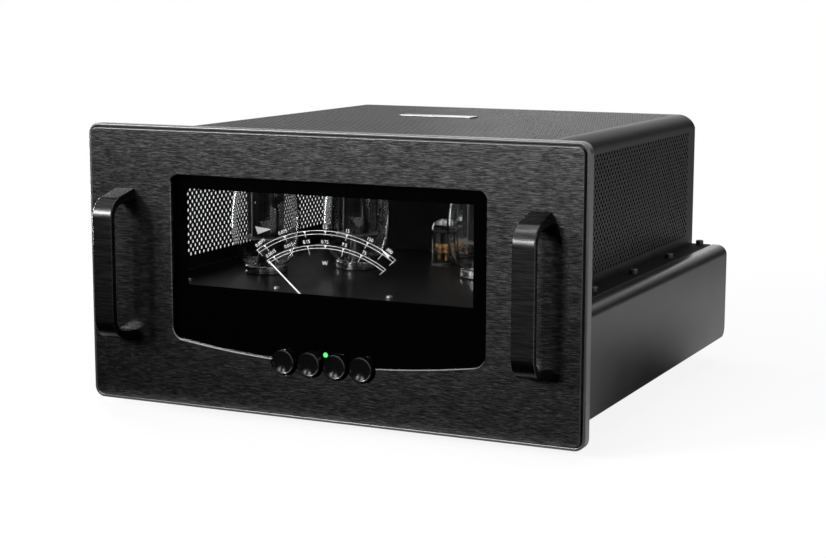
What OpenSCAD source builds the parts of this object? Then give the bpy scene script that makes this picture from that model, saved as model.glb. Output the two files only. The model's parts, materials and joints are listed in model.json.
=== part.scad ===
/* [Faceplate] */
// Width of the front plate
face_w = 482.6; // [440:0.1:520]
// Height of the front plate
face_h = 254; // [240:0.1:280]
// Thickness of the front plate
face_t = 12.7; // [11:0.1:16]
// Corner radius of the front plate
face_r = 10; // [5:0.5:16]
// Width of the lower rim round the raised face
rim_w = 4; // [2.5:0.1:6]
// Depth of the rim behind the raised face
rim_drop = 2.6; // [1:0.1:4]

/* [Window] */
// Width of the window opening
win_w = 306; // [290:0.5:320]
// Top of the window opening above the plate's lower edge
win_top = 211; // [205:0.5:216]
// Lowest point of the bowed lower edge
win_low = 51.5; // [48:0.5:54]
// Radius of the bowed lower edge
win_bow_r = 975; // [800:5:1400]
// Radius of the upper corners
win_top_r = 8; // [3:0.5:14]
// Radius of the lower corners
win_low_r = 12; // [6:0.5:18]
// Thickness of the lip in front of the panel
lip_t = 3; // [2:0.1:4]
// Width of the lip behind which the panel sits
lip_w = 5; // [3:0.5:8]
// Thickness of the clear panel
panel_t = 4; // [3:0.1:5]
// Thickness of the black mask
mask_t = 1.2; // [0.8:0.1:1.6]
// Width of the clear view in the mask
clear_w = 279; // [260:0.5:286]
// Lower edge of the clear view
clear_low = 111.7; // [109:0.1:118]
// Upper edge of the clear view
clear_high = 198.5; // [190:0.5:202]

/* [Buttons] */
// Distance between neighbouring buttons
button_pitch = 25.4; // [25:0.1:30]
// Radius of a button cap
button_r = 10.8; // [9:0.1:11.2]
// Height of the buttons above the plate's lower edge
button_z = 51.3; // [50:0.1:52]
// Radius of the scallop round a button
scallop_r = 12.8; // [12.5:0.1:14]
// How far a button stands out of the plate
button_proud = 2.5; // [1:0.1:5]
// Depth of the dish in a button's face
dish_depth = 1.2; // [0.4:0.1:2]
// Travel of a button
button_travel = 2.5; // [1.5:0.1:3.5]

/* [Meter] */
// Height of the needle's pivot above the plate's lower edge
pivot_z = 88; // [84:0.5:91]
// Length from pivot to needle tip
needle_l = 76.5; // [70:0.5:80]
// Angle of the needle at rest, left of upright
needle_rest = 49; // [40:1:55]

/* [Handles] */
// Distance of a handle's middle from the plate's end
handle_inset = 40.3; // [34:0.1:50]
// Width of the handle bar
handle_w = 20; // [16:0.5:26]
// Thickness of the handle's front bar
handle_t = 6.35; // [5:0.05:9]
// Thickness of the handle's legs at the plate
leg_t = 10; // [9.5:0.1:12]
// Slope of the legs' outer faces
leg_splay = 14; // [8:0.5:18]
// Slope of the legs' inner faces
leg_taper = 7; // [3:0.5:9]
// Reach in front of the plate
handle_reach = 38; // [32:0.5:48]
// Lower end of the handles above the plate's lower edge
handle_low = 57.3; // [45:0.5:70]
// Upper end of the handles
handle_high = 196.7; // [180:0.5:210]
// Outer radius of the handle's bends
handle_r = 19; // [14:0.5:24]

/* [Chassis] */
// Depth from the plate's front face to the rear
case_d = 460; // [440:1:500]
// Half the width of the chassis
rail_x = 230.5; // [224:0.5:236]
// Underside of the chassis above the plate's lower edge
chassis_low = 17.5; // [10:0.5:24]
// Top of the side rails above the plate's lower edge
rail_top = 113; // [111:0.5:116]
// Outer radius of the rails' upper edge and of the lower rear corner
rail_r = 10; // [6:0.5:14]
// Wall of the rails, pan and panels
wall_t = 3; // [2:0.1:4]
// Drop of the deck below the rails' top
deck_drop = 7.5; // [6:0.1:9]
// Thickness of the deck
deck_t = 2; // [1.5:0.1:3]

/* [Cage] */
// Half the width of the cage
cage_x = 192.8; // [188:0.1:196]
// Top of the cage above the plate's lower edge
cage_top = 247.8; // [244:0.1:252]
// Thickness of the cage's sheet
sheet_t = 1; // [0.8:0.1:2.4]
// Outer radius of the bends along the cage's top
cage_r = 13; // [6:0.5:18]
// Size of the bevel along the cage's rear top edge
cage_bevel = 14; // [8:0.5:22]
// Openings across the cage's top and rear
grid_x = 10; // [6:1:12]
// Openings along the cage's top and sides
grid_y = 12; // [6:1:12]
// Openings up the cage's sides and rear
grid_z = 3; // [2:1:5]
// Width of an opening as a share of its place in the grid
grid_open = 0.62; // [0.4:0.01:0.75]
// Width of the foot flanges
flange_w = 20; // [16:0.5:21]

/* [Valves] */
// Largest radius of an output valve's bulb
bulb_r = 33; // [28:0.5:34]
// Height of the bulb's widest place above the deck
bulb_mid = 48; // [42:0.5:56]
// Height of the bulb's top above the deck
bulb_top = 124; // [112:0.5:132]
// Radius of the glass where it leaves the base
neck_r = 17; // [15:0.5:19]
// Radius of the base
base_r = 20.5; // [19.5:0.1:23]
// Height of the base above the deck
base_h = 8.5; // [7:0.5:12]
// Thickness of the glass
glass_t = 1.2; // [0.8:0.1:1.6]
// Sideways place of the outer valves
outer_x = 131; // [128:0.5:136]
// Depth of the outer valves behind the plate's front face
outer_y = 133; // [120:0.5:140]
// Sideways place of the inner valves
inner_x = 66; // [60:0.5:68]
// Depth of the inner valves
inner_y = 197; // [190:0.5:206]
// Radius of a driver valve
driver_r = 12; // [9:0.1:13]
// Height of a driver valve above the deck
driver_h = 47; // [42:0.5:60]
// Depth of the first driver valve
driver_y = 255; // [250:0.5:260]
// Distance from the first driver valve to the second
driver_pitch = 42; // [36:0.5:46]

/* [Transformers] */
// Width of a transformer can
can_w = 168; // [140:0.5:176]
// Depth of a transformer can
can_d = 126; // [100:0.5:130]
// Height of a transformer can
can_h = 128; // [100:0.5:134]
// Gap between the two cans
can_gap = 16; // [8:0.5:20]

/* [Rear] */
// How far the speaker terminals stand out of the rear
post_reach = 24; // [20:0.5:30]
// Distance between neighbouring terminals
post_pitch = 34; // [30:0.5:40]
// Radius of a terminal's threaded stem
stem_r = 3; // [2:0.1:4]
// Radius of a terminal's nut
nut_r = 8; // [6.5:0.1:10]

/* [Feet] */
// Height of the feet
foot_h = 25; // [18:0.5:32]
// Radius of a foot
foot_r = 20; // [15:0.5:24]
// Sideways place of the feet
foot_x = 165; // [150:0.5:172]
// Distance of the front and rear feet from the case's ends
foot_inset = 60; // [45:0.5:90]

/* [Hidden] */
$fn = 64;

// Small gap between pieces that are put together by hand, and the gap round sliding pieces
fit = 0.2;
slide_gap = 0.4;
// Radial gap of a shaft that turns in its bore
turn_gap = 0.05;
// Overlap that makes a cut run clean through a face, and one that lets smoothly meeting arcs cross
cut = 1;
arc_cut = 0.02;

// Whole depth and the place of the plate's front lower edge in the part's frame
depth = handle_reach + case_d + post_reach;
face_y = handle_reach - depth / 2;
plate_z = foot_h - chassis_low;

// Depths of the layers behind the plate's front face
panel_y = lip_t;
mask_y = panel_y + panel_t;
retainer_y = mask_y + mask_t;
chassis_y = face_t + wall_t;

// Outline of the panel in the plate's pocket
panel_w = win_w + 2 * lip_w;
panel_low = button_z - scallop_r - lip_w;
panel_high = win_top + lip_w;
panel_r = win_top_r;

// Opening in the retainer and the subpanel, and its margins round the clear view
view_side = 8.5;
view_under = 1.5;
view_over = 7.5;
view_w = clear_w + 2 * view_side;
view_low = button_z + scallop_r + view_under;
view_high = clear_high + view_over;

// Buttons: rim of the dish, collar behind the mask, plunger, and the switch on the board
button_x = [for (i = [-1.5:1:1.5]) i * button_pitch];
dish_rim = 1.2;
collar_w = 0.9;
collar_t = 2;
well_gap = 0.7;
plunger_r = 3;
plunger_gap = 5;
switch_half = 6;
switch_h = 8.5;
switch_spare = 0.5;
button_hole_r = button_r + slide_gap;
button_well_r = button_r + collar_w + well_gap;

// Status light above the buttons
led_r = 2.2;
led_rise = 8.2;
led_z = button_z + led_rise;

// Needle with its tail, counterweight, hub and shaft, and the movement that hangs from the deck
needle_gap = 1.6;
needle_y = retainer_y + needle_gap;
blade_w = 1.4;
blade_t = 0.8;
tail_l = 16;
weight_w = 4;
weight_h = 6;
weight_drop = 2;
hub_r = 4;
hub_front = 0.6;
hub_rear = 0.4;
shaft_r = 1.2;
shaft_in = 6;
shaft_spare = 1;
movement_half = 23;
movement_d = 30;
movement_under = 22;
bracket_half = 34;
bracket_d = 34;
bracket_t = 1.6;

// Levels of the deck and the steps of the side rails
flange_gap = 1.7;
drop_in = 7.8;
ledge_w = 16;
deck_z = rail_top - deck_drop;
ledge_z = deck_z - deck_t;
flange_z = rail_top - sheet_t - fit;
step_x = cage_x + flange_w + flange_gap;
drop_x = cage_x - drop_in;
inner_x_wall = rail_x - wall_t;
rear_lip = 2 * rail_r;
subpanel_gap = 3;

// Fields of openings in the cage, inside plain margins of the sheet
field_side = 15.7;
field_front = 8.5;
field_rear = 23;
field_under = 9.8;
field_over = 17.4;
field_x = cage_x - field_side;
field_y = [face_t + field_front, case_d - field_rear];
field_z = [flange_z + sheet_t + field_under, cage_top - field_over];

// Screws of plate, handles and feet, and the blind holes that they end in
screw_r = 2.5;
screw_head_r = 4.6;
screw_head_t = 4;
tip_gap = 1;
plate_skin = 4;
handle_tap = 9;
handle_screw_in = 6.2;
handle_x = face_w / 2 - handle_inset;
plate_screw_at = [[-205, 30], [-172, 228], [205, 30], [172, 228]];
handle_screw_at = [
    for (x = [-handle_x, handle_x], z = [handle_low + handle_screw_in, handle_high - handle_screw_in]) [x, z]];

// Screws of cage and deck
cage_screw_y = [124, 236, 347, case_d - 6];
cage_screw_x = cage_x + flange_w / 2;
cage_screw_r = 2;
cage_screw_tip = 2;
cage_head_r = 4.4;
cage_head_t = 4.6;
deck_screw_at = [[-76, 56], [38, 56], [-172, 60], [172, 60], [-172, 300], [172, 300]];
deck_head_r = 3.4;
deck_head_t = 2.2;

// Feet
foot_bore_r = 6;
foot_tip = 3;
foot_at = [for (x = [-foot_x, foot_x], y = [foot_inset, case_d - foot_inset]) [x, y]];

// Bare plate on the cage
badge_size = [80, 18];
badge_at = [-28, 303];
badge_t = 1.2;
badge_r = 2;

// Places of the valves and their sockets
power_at = [[-outer_x, outer_y], [-inner_x, inner_y], [inner_x, inner_y], [outer_x, outer_y]];
driver_at = [[0, driver_y], [0, driver_y + driver_pitch]];
socket_neck_r = base_r - 4;
socket_h = 10;
socket_lip = 0.8;
driver_socket_r = driver_r + 2;
driver_foot = 3;

// Inside of an output valve: stem, plate box between two mica discs
mica_t = 1.5;
mica_gap = 12;
stem_w = 9;
plate_box = [38, 22, 46];
plate_under = 14;
plate_low = bulb_mid - plate_under;

// Inside of a driver valve
driver_stem_r = 5;
driver_stem_h = 8;
driver_mica_t = 1;
driver_mica_gap = 0.6;
driver_box = [12, 8];
driver_crown = 32;
driver_box_h = driver_h - driver_crown;

// Transformer cans
can_rear_gap = 6;
can_r = 8;

// Rear sockets, from left to right as seen from the front, on one line
rear_row_z = (chassis_low + rear_lip + ledge_z) / 2;
post_first_x = -150;
post_x = [for (i = [0:3]) post_first_x + i * post_pitch];
balanced_x = 30;
fuse_x = 92;
inlet_x = 160;

// Mains inlet: flange, body, mouth and blades
inlet_flange = [48, 28];
inlet_flange_t = 3;
inlet_flange_r = 4;
inlet_body = [28, 20];
inlet_d = 22;
inlet_mouth = [23, 15];
inlet_mouth_d = 16;
blade_size = [2, 4];
blade_short = 6.5;
blade_at = [[-7, -2], [0, 3], [7, -2]];

// Fuse holder and its cap
fuse_r = 7;
fuse_d = 28;
fuse_flange_r = 9;
fuse_flange_t = 3;
fuse_bore_r = 5;
fuse_bore_d = 14;
fuse_cap_r = 7.5;
fuse_cap_h = 7.7;
fuse_cap_gap = 0.3;
fuse_slot = [1.6, 1.4];

// Balanced input
balanced_r = 11.8;
balanced_d = 22;
balanced_flange = [26, 31];
balanced_flange_t = 2;
balanced_flange_r = 3;
contact_ring_r = 5;
contact_r = 1.3;
contact_d = 14;

// Speaker terminals
collar_over = 0.8;
post_collar_t = 4;
post_tail = 18;
post_nut_in_r = 6;
post_nut_in_t = 5;
stem_gap = 1;
post_cap_over = 1.2;
post_cap_t = 1.5;
nut_gap = 0.3;
flute_r = 2;
flute_out = 1;

// Boards
board_t = 1.6;
board_gap = 8;
board_hole_r = 1.5;
standoff_r = 3;
control_y = chassis_y + board_gap;
control_half = [78, 14];
control_inset = [6, 4];
main_rise = 20;
main_z = chassis_low + wall_t + main_rise;
main_size = [260, 240];
main_inset = 8;
main_y = 120;
capacitor_r = 17.5;
capacitor_h = 42;
capacitor_pitch = 52;
capacitor_inset = 30;

// Inner sizes of the cage
cage_in_x = cage_x - sheet_t;
cage_in_top = cage_top - sheet_t;
cage_in_r = max(cage_r - sheet_t, 1);

// Puts a piece drawn from the plate's lower front edge into the part's frame
module placed() {
    translate([0, face_y, plate_z]) children();
}

// Runs an outline of x and z along y
module along_y(y0, y1) {
    translate([0, y1, 0]) rotate([90, 0, 0]) linear_extrude(y1 - y0) children();
}

// Runs an outline of y and z along x
module along_x(x0, x1) {
    translate([x0, 0, 0]) rotate([90, 0, 90]) linear_extrude(x1 - x0) children();
}

// Round rod along y
module rod_y(r, y0, y1) {
    translate([0, y0, 0]) rotate([-90, 0, 0]) cylinder(r = r, h = y1 - y0);
}

// Rectangle between two corners
module area(low, high) {
    translate(low) square(high - low);
}

// Rectangle between two corners with round corners
module round_area(low, high, r) {
    area([low[0] + r, low[1]], [high[0] - r, high[1]]);
    area([low[0], low[1] + r], [high[0], high[1] - r]);
    for (x = [low[0] + r, high[0] - r], y = [low[1] + r, high[1] - r]) translate([x, y]) circle(r);
}

// Rectangle whose two upper corners are round
module arch_area(low, high, r) {
    area(low, [high[0], high[1] - r]);
    area([low[0] + r, low[1]], [high[0] - r, high[1]]);
    for (x = [low[0] + r, high[0] - r]) translate([x, high[1] - r]) circle(r);
}

// Window opening: straight sides, bowed lower edge and a scallop under each button
module window_outline() {
    half = win_w / 2;
    bow_z = win_low + win_bow_r;
    corner_x = half - win_low_r;
    corner_far = win_bow_r - win_low_r + arc_cut;
    corner_z = bow_z - sqrt(pow(corner_far, 2) - pow(corner_x, 2));
    tangent_x = corner_x * win_bow_r / corner_far;
    arch_area([-half, corner_z], [half, win_top], win_top_r);
    intersection() {
        translate([0, bow_z]) circle(win_bow_r, $fn = 360);
        area([-tangent_x, win_low - cut], [tangent_x, corner_z + cut]);
    }
    for (x = [-corner_x, corner_x]) translate([x, corner_z]) circle(win_low_r);
    for (x = button_x) translate([x, button_z]) circle(scallop_r);
}

// Outline of panel, mask and retainer, less a gap to the pocket
module panel_outline(gap) {
    round_area([gap - panel_w / 2, panel_low + gap], [panel_w / 2 - gap, panel_high - gap], panel_r);
}

module button_holes(r) {
    for (x = button_x) translate([x, button_z]) circle(r);
}

module view_outline() {
    round_area([-view_w / 2, view_low], [view_w / 2, view_high], panel_r);
}

module faceplate() {
    color("#1d1e20") placed() difference() {
        union() {
            along_y(rim_drop, face_t) round_area([-face_w / 2, 0], [face_w / 2, face_h], face_r);
            along_y(0, face_t)
                round_area([rim_w - face_w / 2, rim_w], [face_w / 2 - rim_w, face_h - rim_w], face_r - rim_w);
        }
        along_y(-cut, face_t + cut) window_outline();
        along_y(lip_t, face_t + cut) panel_outline(0);
        for (p = handle_screw_at) translate([p[0], 0, p[1]]) {
            rod_y(screw_r + fit, -cut, face_t + cut);
            rod_y(screw_head_r + fit, face_t - screw_head_t - fit, face_t + cut);
        }
        for (p = plate_screw_at) translate([p[0], 0, p[1]]) rod_y(screw_r + fit, plate_skin, face_t + cut);
    }
}

module faceplate_screws() {
    color("#9a9a98") placed() for (p = plate_screw_at) translate([p[0], 0, p[1]]) {
        rod_y(screw_r, plate_skin + tip_gap, chassis_y);
        rod_y(screw_head_r, chassis_y, chassis_y + screw_head_t);
    }
}

module window_panel() {
    color("#20242655") placed() along_y(panel_y, mask_y) difference() {
        panel_outline(fit);
        button_holes(button_hole_r);
    }
}

module window_mask() {
    color("#060607") placed() along_y(mask_y, retainer_y) difference() {
        panel_outline(fit);
        button_holes(button_hole_r);
        area([-clear_w / 2, clear_low], [clear_w / 2, clear_high]);
        translate([0, led_z]) circle(led_r + fit);
    }
}

module window_retainer() {
    color("#2a2a2c") placed() along_y(retainer_y, face_t) difference() {
        panel_outline(fit);
        view_outline();
        button_holes(button_well_r);
        translate([0, led_z]) circle(led_r + fit);
    }
}

module front_subpanel() {
    upper_half = cage_in_x - subpanel_gap;
    color("#3a3b3d") placed() along_y(face_t, chassis_y) difference() {
        union() {
            area([fit - inner_x_wall, chassis_low + wall_t], [inner_x_wall - fit, ledge_z - wall_t - fit]);
            area([fit - drop_x, chassis_low + wall_t], [drop_x - fit, rail_top]);
            area([-upper_half, rail_top - cut], [upper_half, cage_in_top - cage_r]);
        }
        area([fit - drop_x - cut, ledge_z - wall_t - fit], [fit + ledge_w - drop_x, ledge_z + fit]);
        area([drop_x - ledge_w - fit, ledge_z - wall_t - fit], [drop_x - fit + cut, ledge_z + fit]);
        view_outline();
        button_holes(button_well_r);
        translate([0, led_z]) circle(led_r + fit);
        for (p = plate_screw_at) translate(p) circle(screw_r + fit);
    }
}

// Handle: a bar bent to a splayed U, with a tapped hole in each of its thicker legs
module handle(x) {
    inner_r = handle_r - handle_t;
    color("#17181a") placed() difference() {
        along_x(x - handle_w / 2, x + handle_w / 2) difference() {
            splayed_front(-handle_reach, 0, handle_low, handle_high, leg_splay, handle_r);
            splayed_front(handle_t - handle_reach, cut, handle_low + leg_t, handle_high - leg_t,
                leg_taper, inner_r);
        }
        for (p = handle_screw_at) translate([p[0], 0, p[1]]) rod_y(screw_r + fit, -handle_tap, cut);
    }
}

// Side view of a bow from its rear ends at low and high to a front bar, with round corners
module splayed_front(front, rear, low, high, slope, r) {
    y = front + r;
    drop = (rear - y) * tan(slope) + r / cos(slope);
    lean = r * sin(slope);
    rise = r * cos(slope);
    polygon([
        [rear, low], [rear, high], [y - lean, high - drop + rise], [front, high - drop],
        [front, low + drop], [y - lean, low + drop - rise]]);
    for (z = [low + drop, high - drop]) translate([y, z]) circle(r);
}

module handle_left() {
    handle(-handle_x);
}

module handle_right() {
    handle(handle_x);
}

module handle_screws() {
    color("#9a9a98") placed() for (p = handle_screw_at) translate([p[0], 0, p[1]]) {
        rod_y(screw_r, tip_gap - handle_tap, face_t - screw_head_t);
        rod_y(screw_head_r, face_t - screw_head_t, face_t - fit);
    }
}

// Right side rail in section: outer wall, round top edge, step for the cage, ledge for the deck
module rail_outline() {
    step_z = flange_z - wall_t;
    area([inner_x_wall, chassis_low], [rail_x, rail_top - rail_r]);
    intersection() {
        translate([rail_x - rail_r, rail_top - rail_r]) difference() {
            circle(rail_r);
            circle(rail_r - wall_t);
        }
        area([rail_x - rail_r, rail_top - rail_r], [rail_x, rail_top]);
    }
    area([step_x, rail_top - wall_t], [rail_x - rail_r, rail_top]);
    area([step_x, step_z], [step_x + wall_t, rail_top]);
    area([drop_x, step_z], [step_x + wall_t, flange_z]);
    area([drop_x, ledge_z - wall_t], [drop_x + wall_t, flange_z]);
    area([drop_x - ledge_w, ledge_z - wall_t], [drop_x + wall_t, ledge_z]);
}

module side_rail_right() {
    color("#151618") placed() difference() {
        intersection() {
            along_y(face_t, case_d) rail_outline();
            along_x(0, rail_x + cut) rail_side();
        }
        for (y = cage_screw_y) translate([cage_screw_x, y, 0]) cage_screw_hole();
    }
}

module side_rail_left() {
    mirror([1, 0, 0]) side_rail_right();
}

// Side view of a rail, with its round lower rear corner
module rail_side() {
    area([face_t, chassis_low], [case_d - rail_r, rail_top]);
    area([face_t, chassis_low + rail_r], [case_d, rail_top]);
    translate([case_d - rail_r, chassis_low + rail_r]) circle(rail_r);
}

module cage_screw_hole() {
    translate([0, 0, flange_z - wall_t - cut])
        cylinder(r = cage_screw_r + fit, h = wall_t + sheet_t + 2 * cut);
}

// Floor of the chassis, turned up along the rear in a round bend
module bottom_pan() {
    half = inner_x_wall - fit;
    color("#1b1c1e") placed() difference() {
        along_x(-half, half) {
            area([chassis_y, chassis_low], [case_d - rail_r, chassis_low + wall_t]);
            area([case_d - wall_t, chassis_low + rail_r], [case_d, chassis_low + rear_lip]);
            intersection() {
                translate([case_d - rail_r, chassis_low + rail_r]) difference() {
                    circle(rail_r);
                    circle(rail_r - wall_t);
                }
                area([case_d - rail_r, chassis_low], [case_d, chassis_low + rail_r]);
            }
        }
        for (p = foot_at) translate([p[0], p[1], chassis_low - cut])
            cylinder(r = screw_r + fit, h = wall_t + 2 * cut);
    }
}

// Rear wall between the rails, with the holes of the rear sockets
module rear_panel() {
    low = chassis_low + rear_lip;
    half = inner_x_wall - fit;
    inner_half = drop_x - ledge_w - fit;
    color("#1b1c1e") placed() along_y(case_d - wall_t, case_d) difference() {
        union() {
            area([-half, low], [half, ledge_z - wall_t - fit]);
            area([-inner_half, low], [inner_half, flange_z]);
            area([fit - drop_x, ledge_z + fit], [drop_x - fit, flange_z]);
            area([drop_x + wall_t + fit, low], [rail_x - rail_r, flange_z - wall_t - fit]);
            area([rail_r - rail_x, low], [-drop_x - wall_t - fit, flange_z - wall_t - fit]);
        }
        for (x = post_x) translate([x, rear_row_z]) circle(stem_r + stem_gap);
        translate([balanced_x, rear_row_z]) circle(balanced_r + fit);
        translate([fuse_x, rear_row_z]) circle(fuse_r + fit);
        translate([inlet_x, rear_row_z]) square(inlet_body + [2, 2] * fit, center = true);
    }
}

module deck_plate() {
    half = drop_x - fit;
    color("#26272a") placed() difference() {
        translate([-half, chassis_y + fit, ledge_z])
            cube([2 * half, case_d - wall_t - 2 * fit - chassis_y, deck_t]);
        for (p = power_at) deck_hole(p, socket_neck_r + fit);
        for (p = driver_at) deck_hole(p, driver_r);
        for (p = deck_screw_at) deck_hole(p, cage_screw_r + fit);
    }
}

module deck_hole(p, r) {
    translate([p[0], p[1], ledge_z - cut]) cylinder(r = r, h = deck_t + 2 * cut);
}

module deck_screws() {
    color("#c8c8c6") placed() for (p = deck_screw_at) translate([p[0], p[1], 0]) {
        translate([0, 0, ledge_z]) cylinder(r = cage_screw_r, h = deck_t);
        translate([0, 0, deck_z]) cylinder(r = deck_head_r, h = deck_head_t);
    }
}

// Cage in section across the case, and its side view with the rear bevel
module cage_section(half, top, r) {
    arch_area([-half, flange_z], [half, top], r);
}

module cage_side(rear, top) {
    polygon([
        [face_t + fit, flange_z], [rear, flange_z], [rear, top - cage_bevel],
        [rear - cage_bevel, top], [face_t + fit, top]]);
}

// Plain openings that stand for the sheet's fine mesh of holes, spread over a field
module opening_grid(low, high, count) {
    place = [(high[0] - low[0]) / count[0], (high[1] - low[1]) / count[1]];
    for (i = [0 : count[0] - 1], j = [0 : count[1] - 1])
        translate([low[0] + (i + 0.5) * place[0], low[1] + (j + 0.5) * place[1]])
            square(place * grid_open, center = true);
}

module cage_openings() {
    translate([0, 0, cage_in_top - cut]) linear_extrude(sheet_t + 2 * cut)
        opening_grid([-field_x, field_y[0]], [field_x, field_y[1]], [grid_x, grid_y]);
    along_x(-cage_x - cut, cage_x + cut)
        opening_grid([field_y[0], field_z[0]], [field_y[1], field_z[1]], [grid_y, grid_z]);
    along_y(case_d - sheet_t - cut, case_d + cut)
        opening_grid([-field_x, field_z[0]], [field_x, field_z[1]], [grid_x, grid_z]);
}

module cage_cover() {
    bevel_in = sheet_t * (2 - sqrt(2));
    rear_in = case_d - sheet_t;
    color("#2b2c2e") placed() difference() {
        union() {
            intersection() {
                along_y(face_t, case_d) cage_section(cage_x, cage_top, cage_r);
                along_x(-cage_x - cut, cage_x + cut) cage_side(case_d, cage_top);
            }
            for (side = [0, 1]) mirror([side, 0, 0]) along_y(face_t + fit, case_d)
                area([cage_in_x, flange_z], [cage_x + flange_w, flange_z + sheet_t]);
        }
        intersection() {
            along_y(0, case_d) translate([0, -cut]) cage_section(cage_in_x, cage_in_top + cut, cage_in_r);
            along_x(-cage_x, cage_x) polygon([
                [0, 0], [rear_in, 0], [rear_in, cage_in_top - cage_bevel + bevel_in],
                [rear_in - cage_bevel + bevel_in, cage_in_top], [0, cage_in_top]]);
        }
        for (x = [-cage_screw_x, cage_screw_x], y = cage_screw_y) translate([x, y, 0]) cage_screw_hole();
        cage_openings();
    }
}

module cage_screws() {
    color("#0e0e0f") placed() for (x = [-cage_screw_x, cage_screw_x], y = cage_screw_y) translate([x, y, 0]) {
        translate([0, 0, flange_z - wall_t - cage_screw_tip])
            cylinder(r = cage_screw_r, h = wall_t + sheet_t + cage_screw_tip);
        translate([0, 0, flange_z + sheet_t]) cylinder(r = cage_head_r, h = cage_head_t);
    }
}

// Bare plate on top of the cage
module top_badge() {
    color("#c9c9c7") placed() translate([badge_at[0], badge_at[1], cage_top]) linear_extrude(badge_t)
        round_area(-badge_size / 2, badge_size / 2, badge_r);
}

module feet() {
    color("#111112") placed() for (p = foot_at) translate([p[0], p[1], chassis_low - foot_h]) difference() {
        cylinder(r = foot_r, h = foot_h);
        translate([0, 0, -cut]) cylinder(r = foot_bore_r, h = foot_h / 2 + cut);
        cylinder(r = screw_r + fit, h = foot_h + cut);
    }
}

module foot_screws() {
    color("#9a9a98") placed() for (p = foot_at) translate([p[0], p[1], chassis_low - foot_h / 2]) {
        cylinder(r = screw_r, h = foot_h / 2 + wall_t + foot_tip);
        translate([0, 0, -screw_head_t]) cylinder(r = screw_head_r, h = screw_head_t);
    }
}

// Push button: dished cap, stop collar behind the mask and the stem that presses the switch
module push_button(i) {
    dish_r = (pow(button_r - dish_rim, 2) + pow(dish_depth, 2)) / (2 * dish_depth);
    collar_y = retainer_y + slide_gap;
    color("#0b0b0c") placed() translate([button_x[i], 0, button_z]) difference() {
        union() {
            rod_y(button_r, -button_proud, collar_y + collar_t);
            rod_y(button_r + collar_w, collar_y, collar_y + collar_t);
            rod_y(plunger_r, 0, control_y - plunger_gap);
        }
        translate([0, dish_depth - button_proud - dish_r, 0]) sphere(dish_r, $fn = 96);
    }
}

module push_button_1() {
    push_button(0);
}

module push_button_2() {
    push_button(1);
}

module push_button_3() {
    push_button(2);
}

module push_button_4() {
    push_button(3);
}

module button_switches() {
    front = control_y - switch_h;
    bore_end = control_y - plunger_gap + button_travel + switch_spare;
    color("#222224") placed() for (x = button_x) translate([x, 0, button_z]) difference() {
        translate([-switch_half, front, -switch_half]) cube([2 * switch_half, switch_h, 2 * switch_half]);
        rod_y(plunger_r + slide_gap, front - cut, bore_end);
    }
}

module control_board() {
    color("#1f5a35") placed() difference() {
        translate([-control_half[0], control_y, button_z - control_half[1]])
            cube([2 * control_half[0], board_t, 2 * control_half[1]]);
        for (p = control_holes) translate([p[0], 0, p[1]])
            rod_y(board_hole_r, control_y - cut, control_y + board_t + cut);
    }
}

control_holes = [for (x = [-1, 1], z = [-1, 1])
    [x * (control_half[0] - control_inset[0]), button_z + z * (control_half[1] - control_inset[1])]];

main_holes = [for (x = [-1, 1], y = [main_inset, main_size[1] - main_inset])
    [x * (main_size[0] / 2 - main_inset), main_y + y]];

module board_standoffs() {
    color("#b58b3c") placed() {
        for (p = control_holes) translate([p[0], 0, p[1]]) rod_y(standoff_r, chassis_y, control_y);
        for (p = main_holes) translate([p[0], p[1], main_z - main_rise])
            cylinder(r = standoff_r, h = main_rise);
    }
}

module status_led() {
    color("#3ddc5a") placed() translate([0, 0, led_z]) rod_y(led_r, mask_y, control_y);
}

// Needle in its rest position: blade, counterweight, hub and the shaft in the movement
module meter_needle() {
    color("#f2f2ee") placed() translate([0, 0, pivot_z]) rotate([0, -needle_rest, 0]) {
        translate([-blade_w / 2, needle_y, -tail_l]) cube([blade_w, blade_t, needle_l + tail_l]);
        translate([-weight_w / 2, needle_y, -tail_l - weight_drop]) cube([weight_w, blade_t, weight_h]);
        rod_y(hub_r, needle_y - hub_front, needle_y + blade_t + hub_rear);
        rod_y(shaft_r, needle_y, chassis_y + shaft_in);
    }
}

module meter_movement() {
    low = pivot_z - movement_under;
    color("#1c1c1e") placed() difference() {
        translate([-movement_half, face_t, low])
            cube([2 * movement_half, movement_d, ledge_z - bracket_t - low]);
        translate([0, 0, pivot_z])
            rod_y(shaft_r + turn_gap, face_t - cut, chassis_y + shaft_in + shaft_spare);
    }
}

// Saddle plate between the movement and the deck
module meter_bracket() {
    color("#8d8f92") placed() translate([-bracket_half, chassis_y + fit, ledge_z - bracket_t])
        cube([2 * bracket_half, bracket_d, bracket_t]);
}

// Radius of the glass at each height, from the neck to the crown
function bulb_side(shrink) = concat(
    [for (a = [0:15:75]) [
        neck_r - shrink + (bulb_r - neck_r) * sin(a), base_h + (bulb_mid - base_h) * (1 - cos(a)) + shrink]],
    [for (a = [0:9:81]) [
        (bulb_r - shrink) * pow(cos(a), 1.25), bulb_mid + (bulb_top - shrink - bulb_mid) * sin(a)]]);

module bulb_outline(shrink) {
    side = bulb_side(shrink);
    polygon(concat([[0, base_h + shrink]], side, [[0, bulb_top - shrink]]));
}

module power_tube_glass(i) {
    color("#d8e2e466") placed() translate([power_at[i][0], power_at[i][1], deck_z])
        rotate_extrude() difference() {
            bulb_outline(0);
            bulb_outline(glass_t);
        }
}

module power_tube_base(i) {
    color("#b9bbbd") placed() translate([power_at[i][0], power_at[i][1], deck_z + socket_lip])
        cylinder(r = base_r, h = base_h - socket_lip);
}

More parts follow.
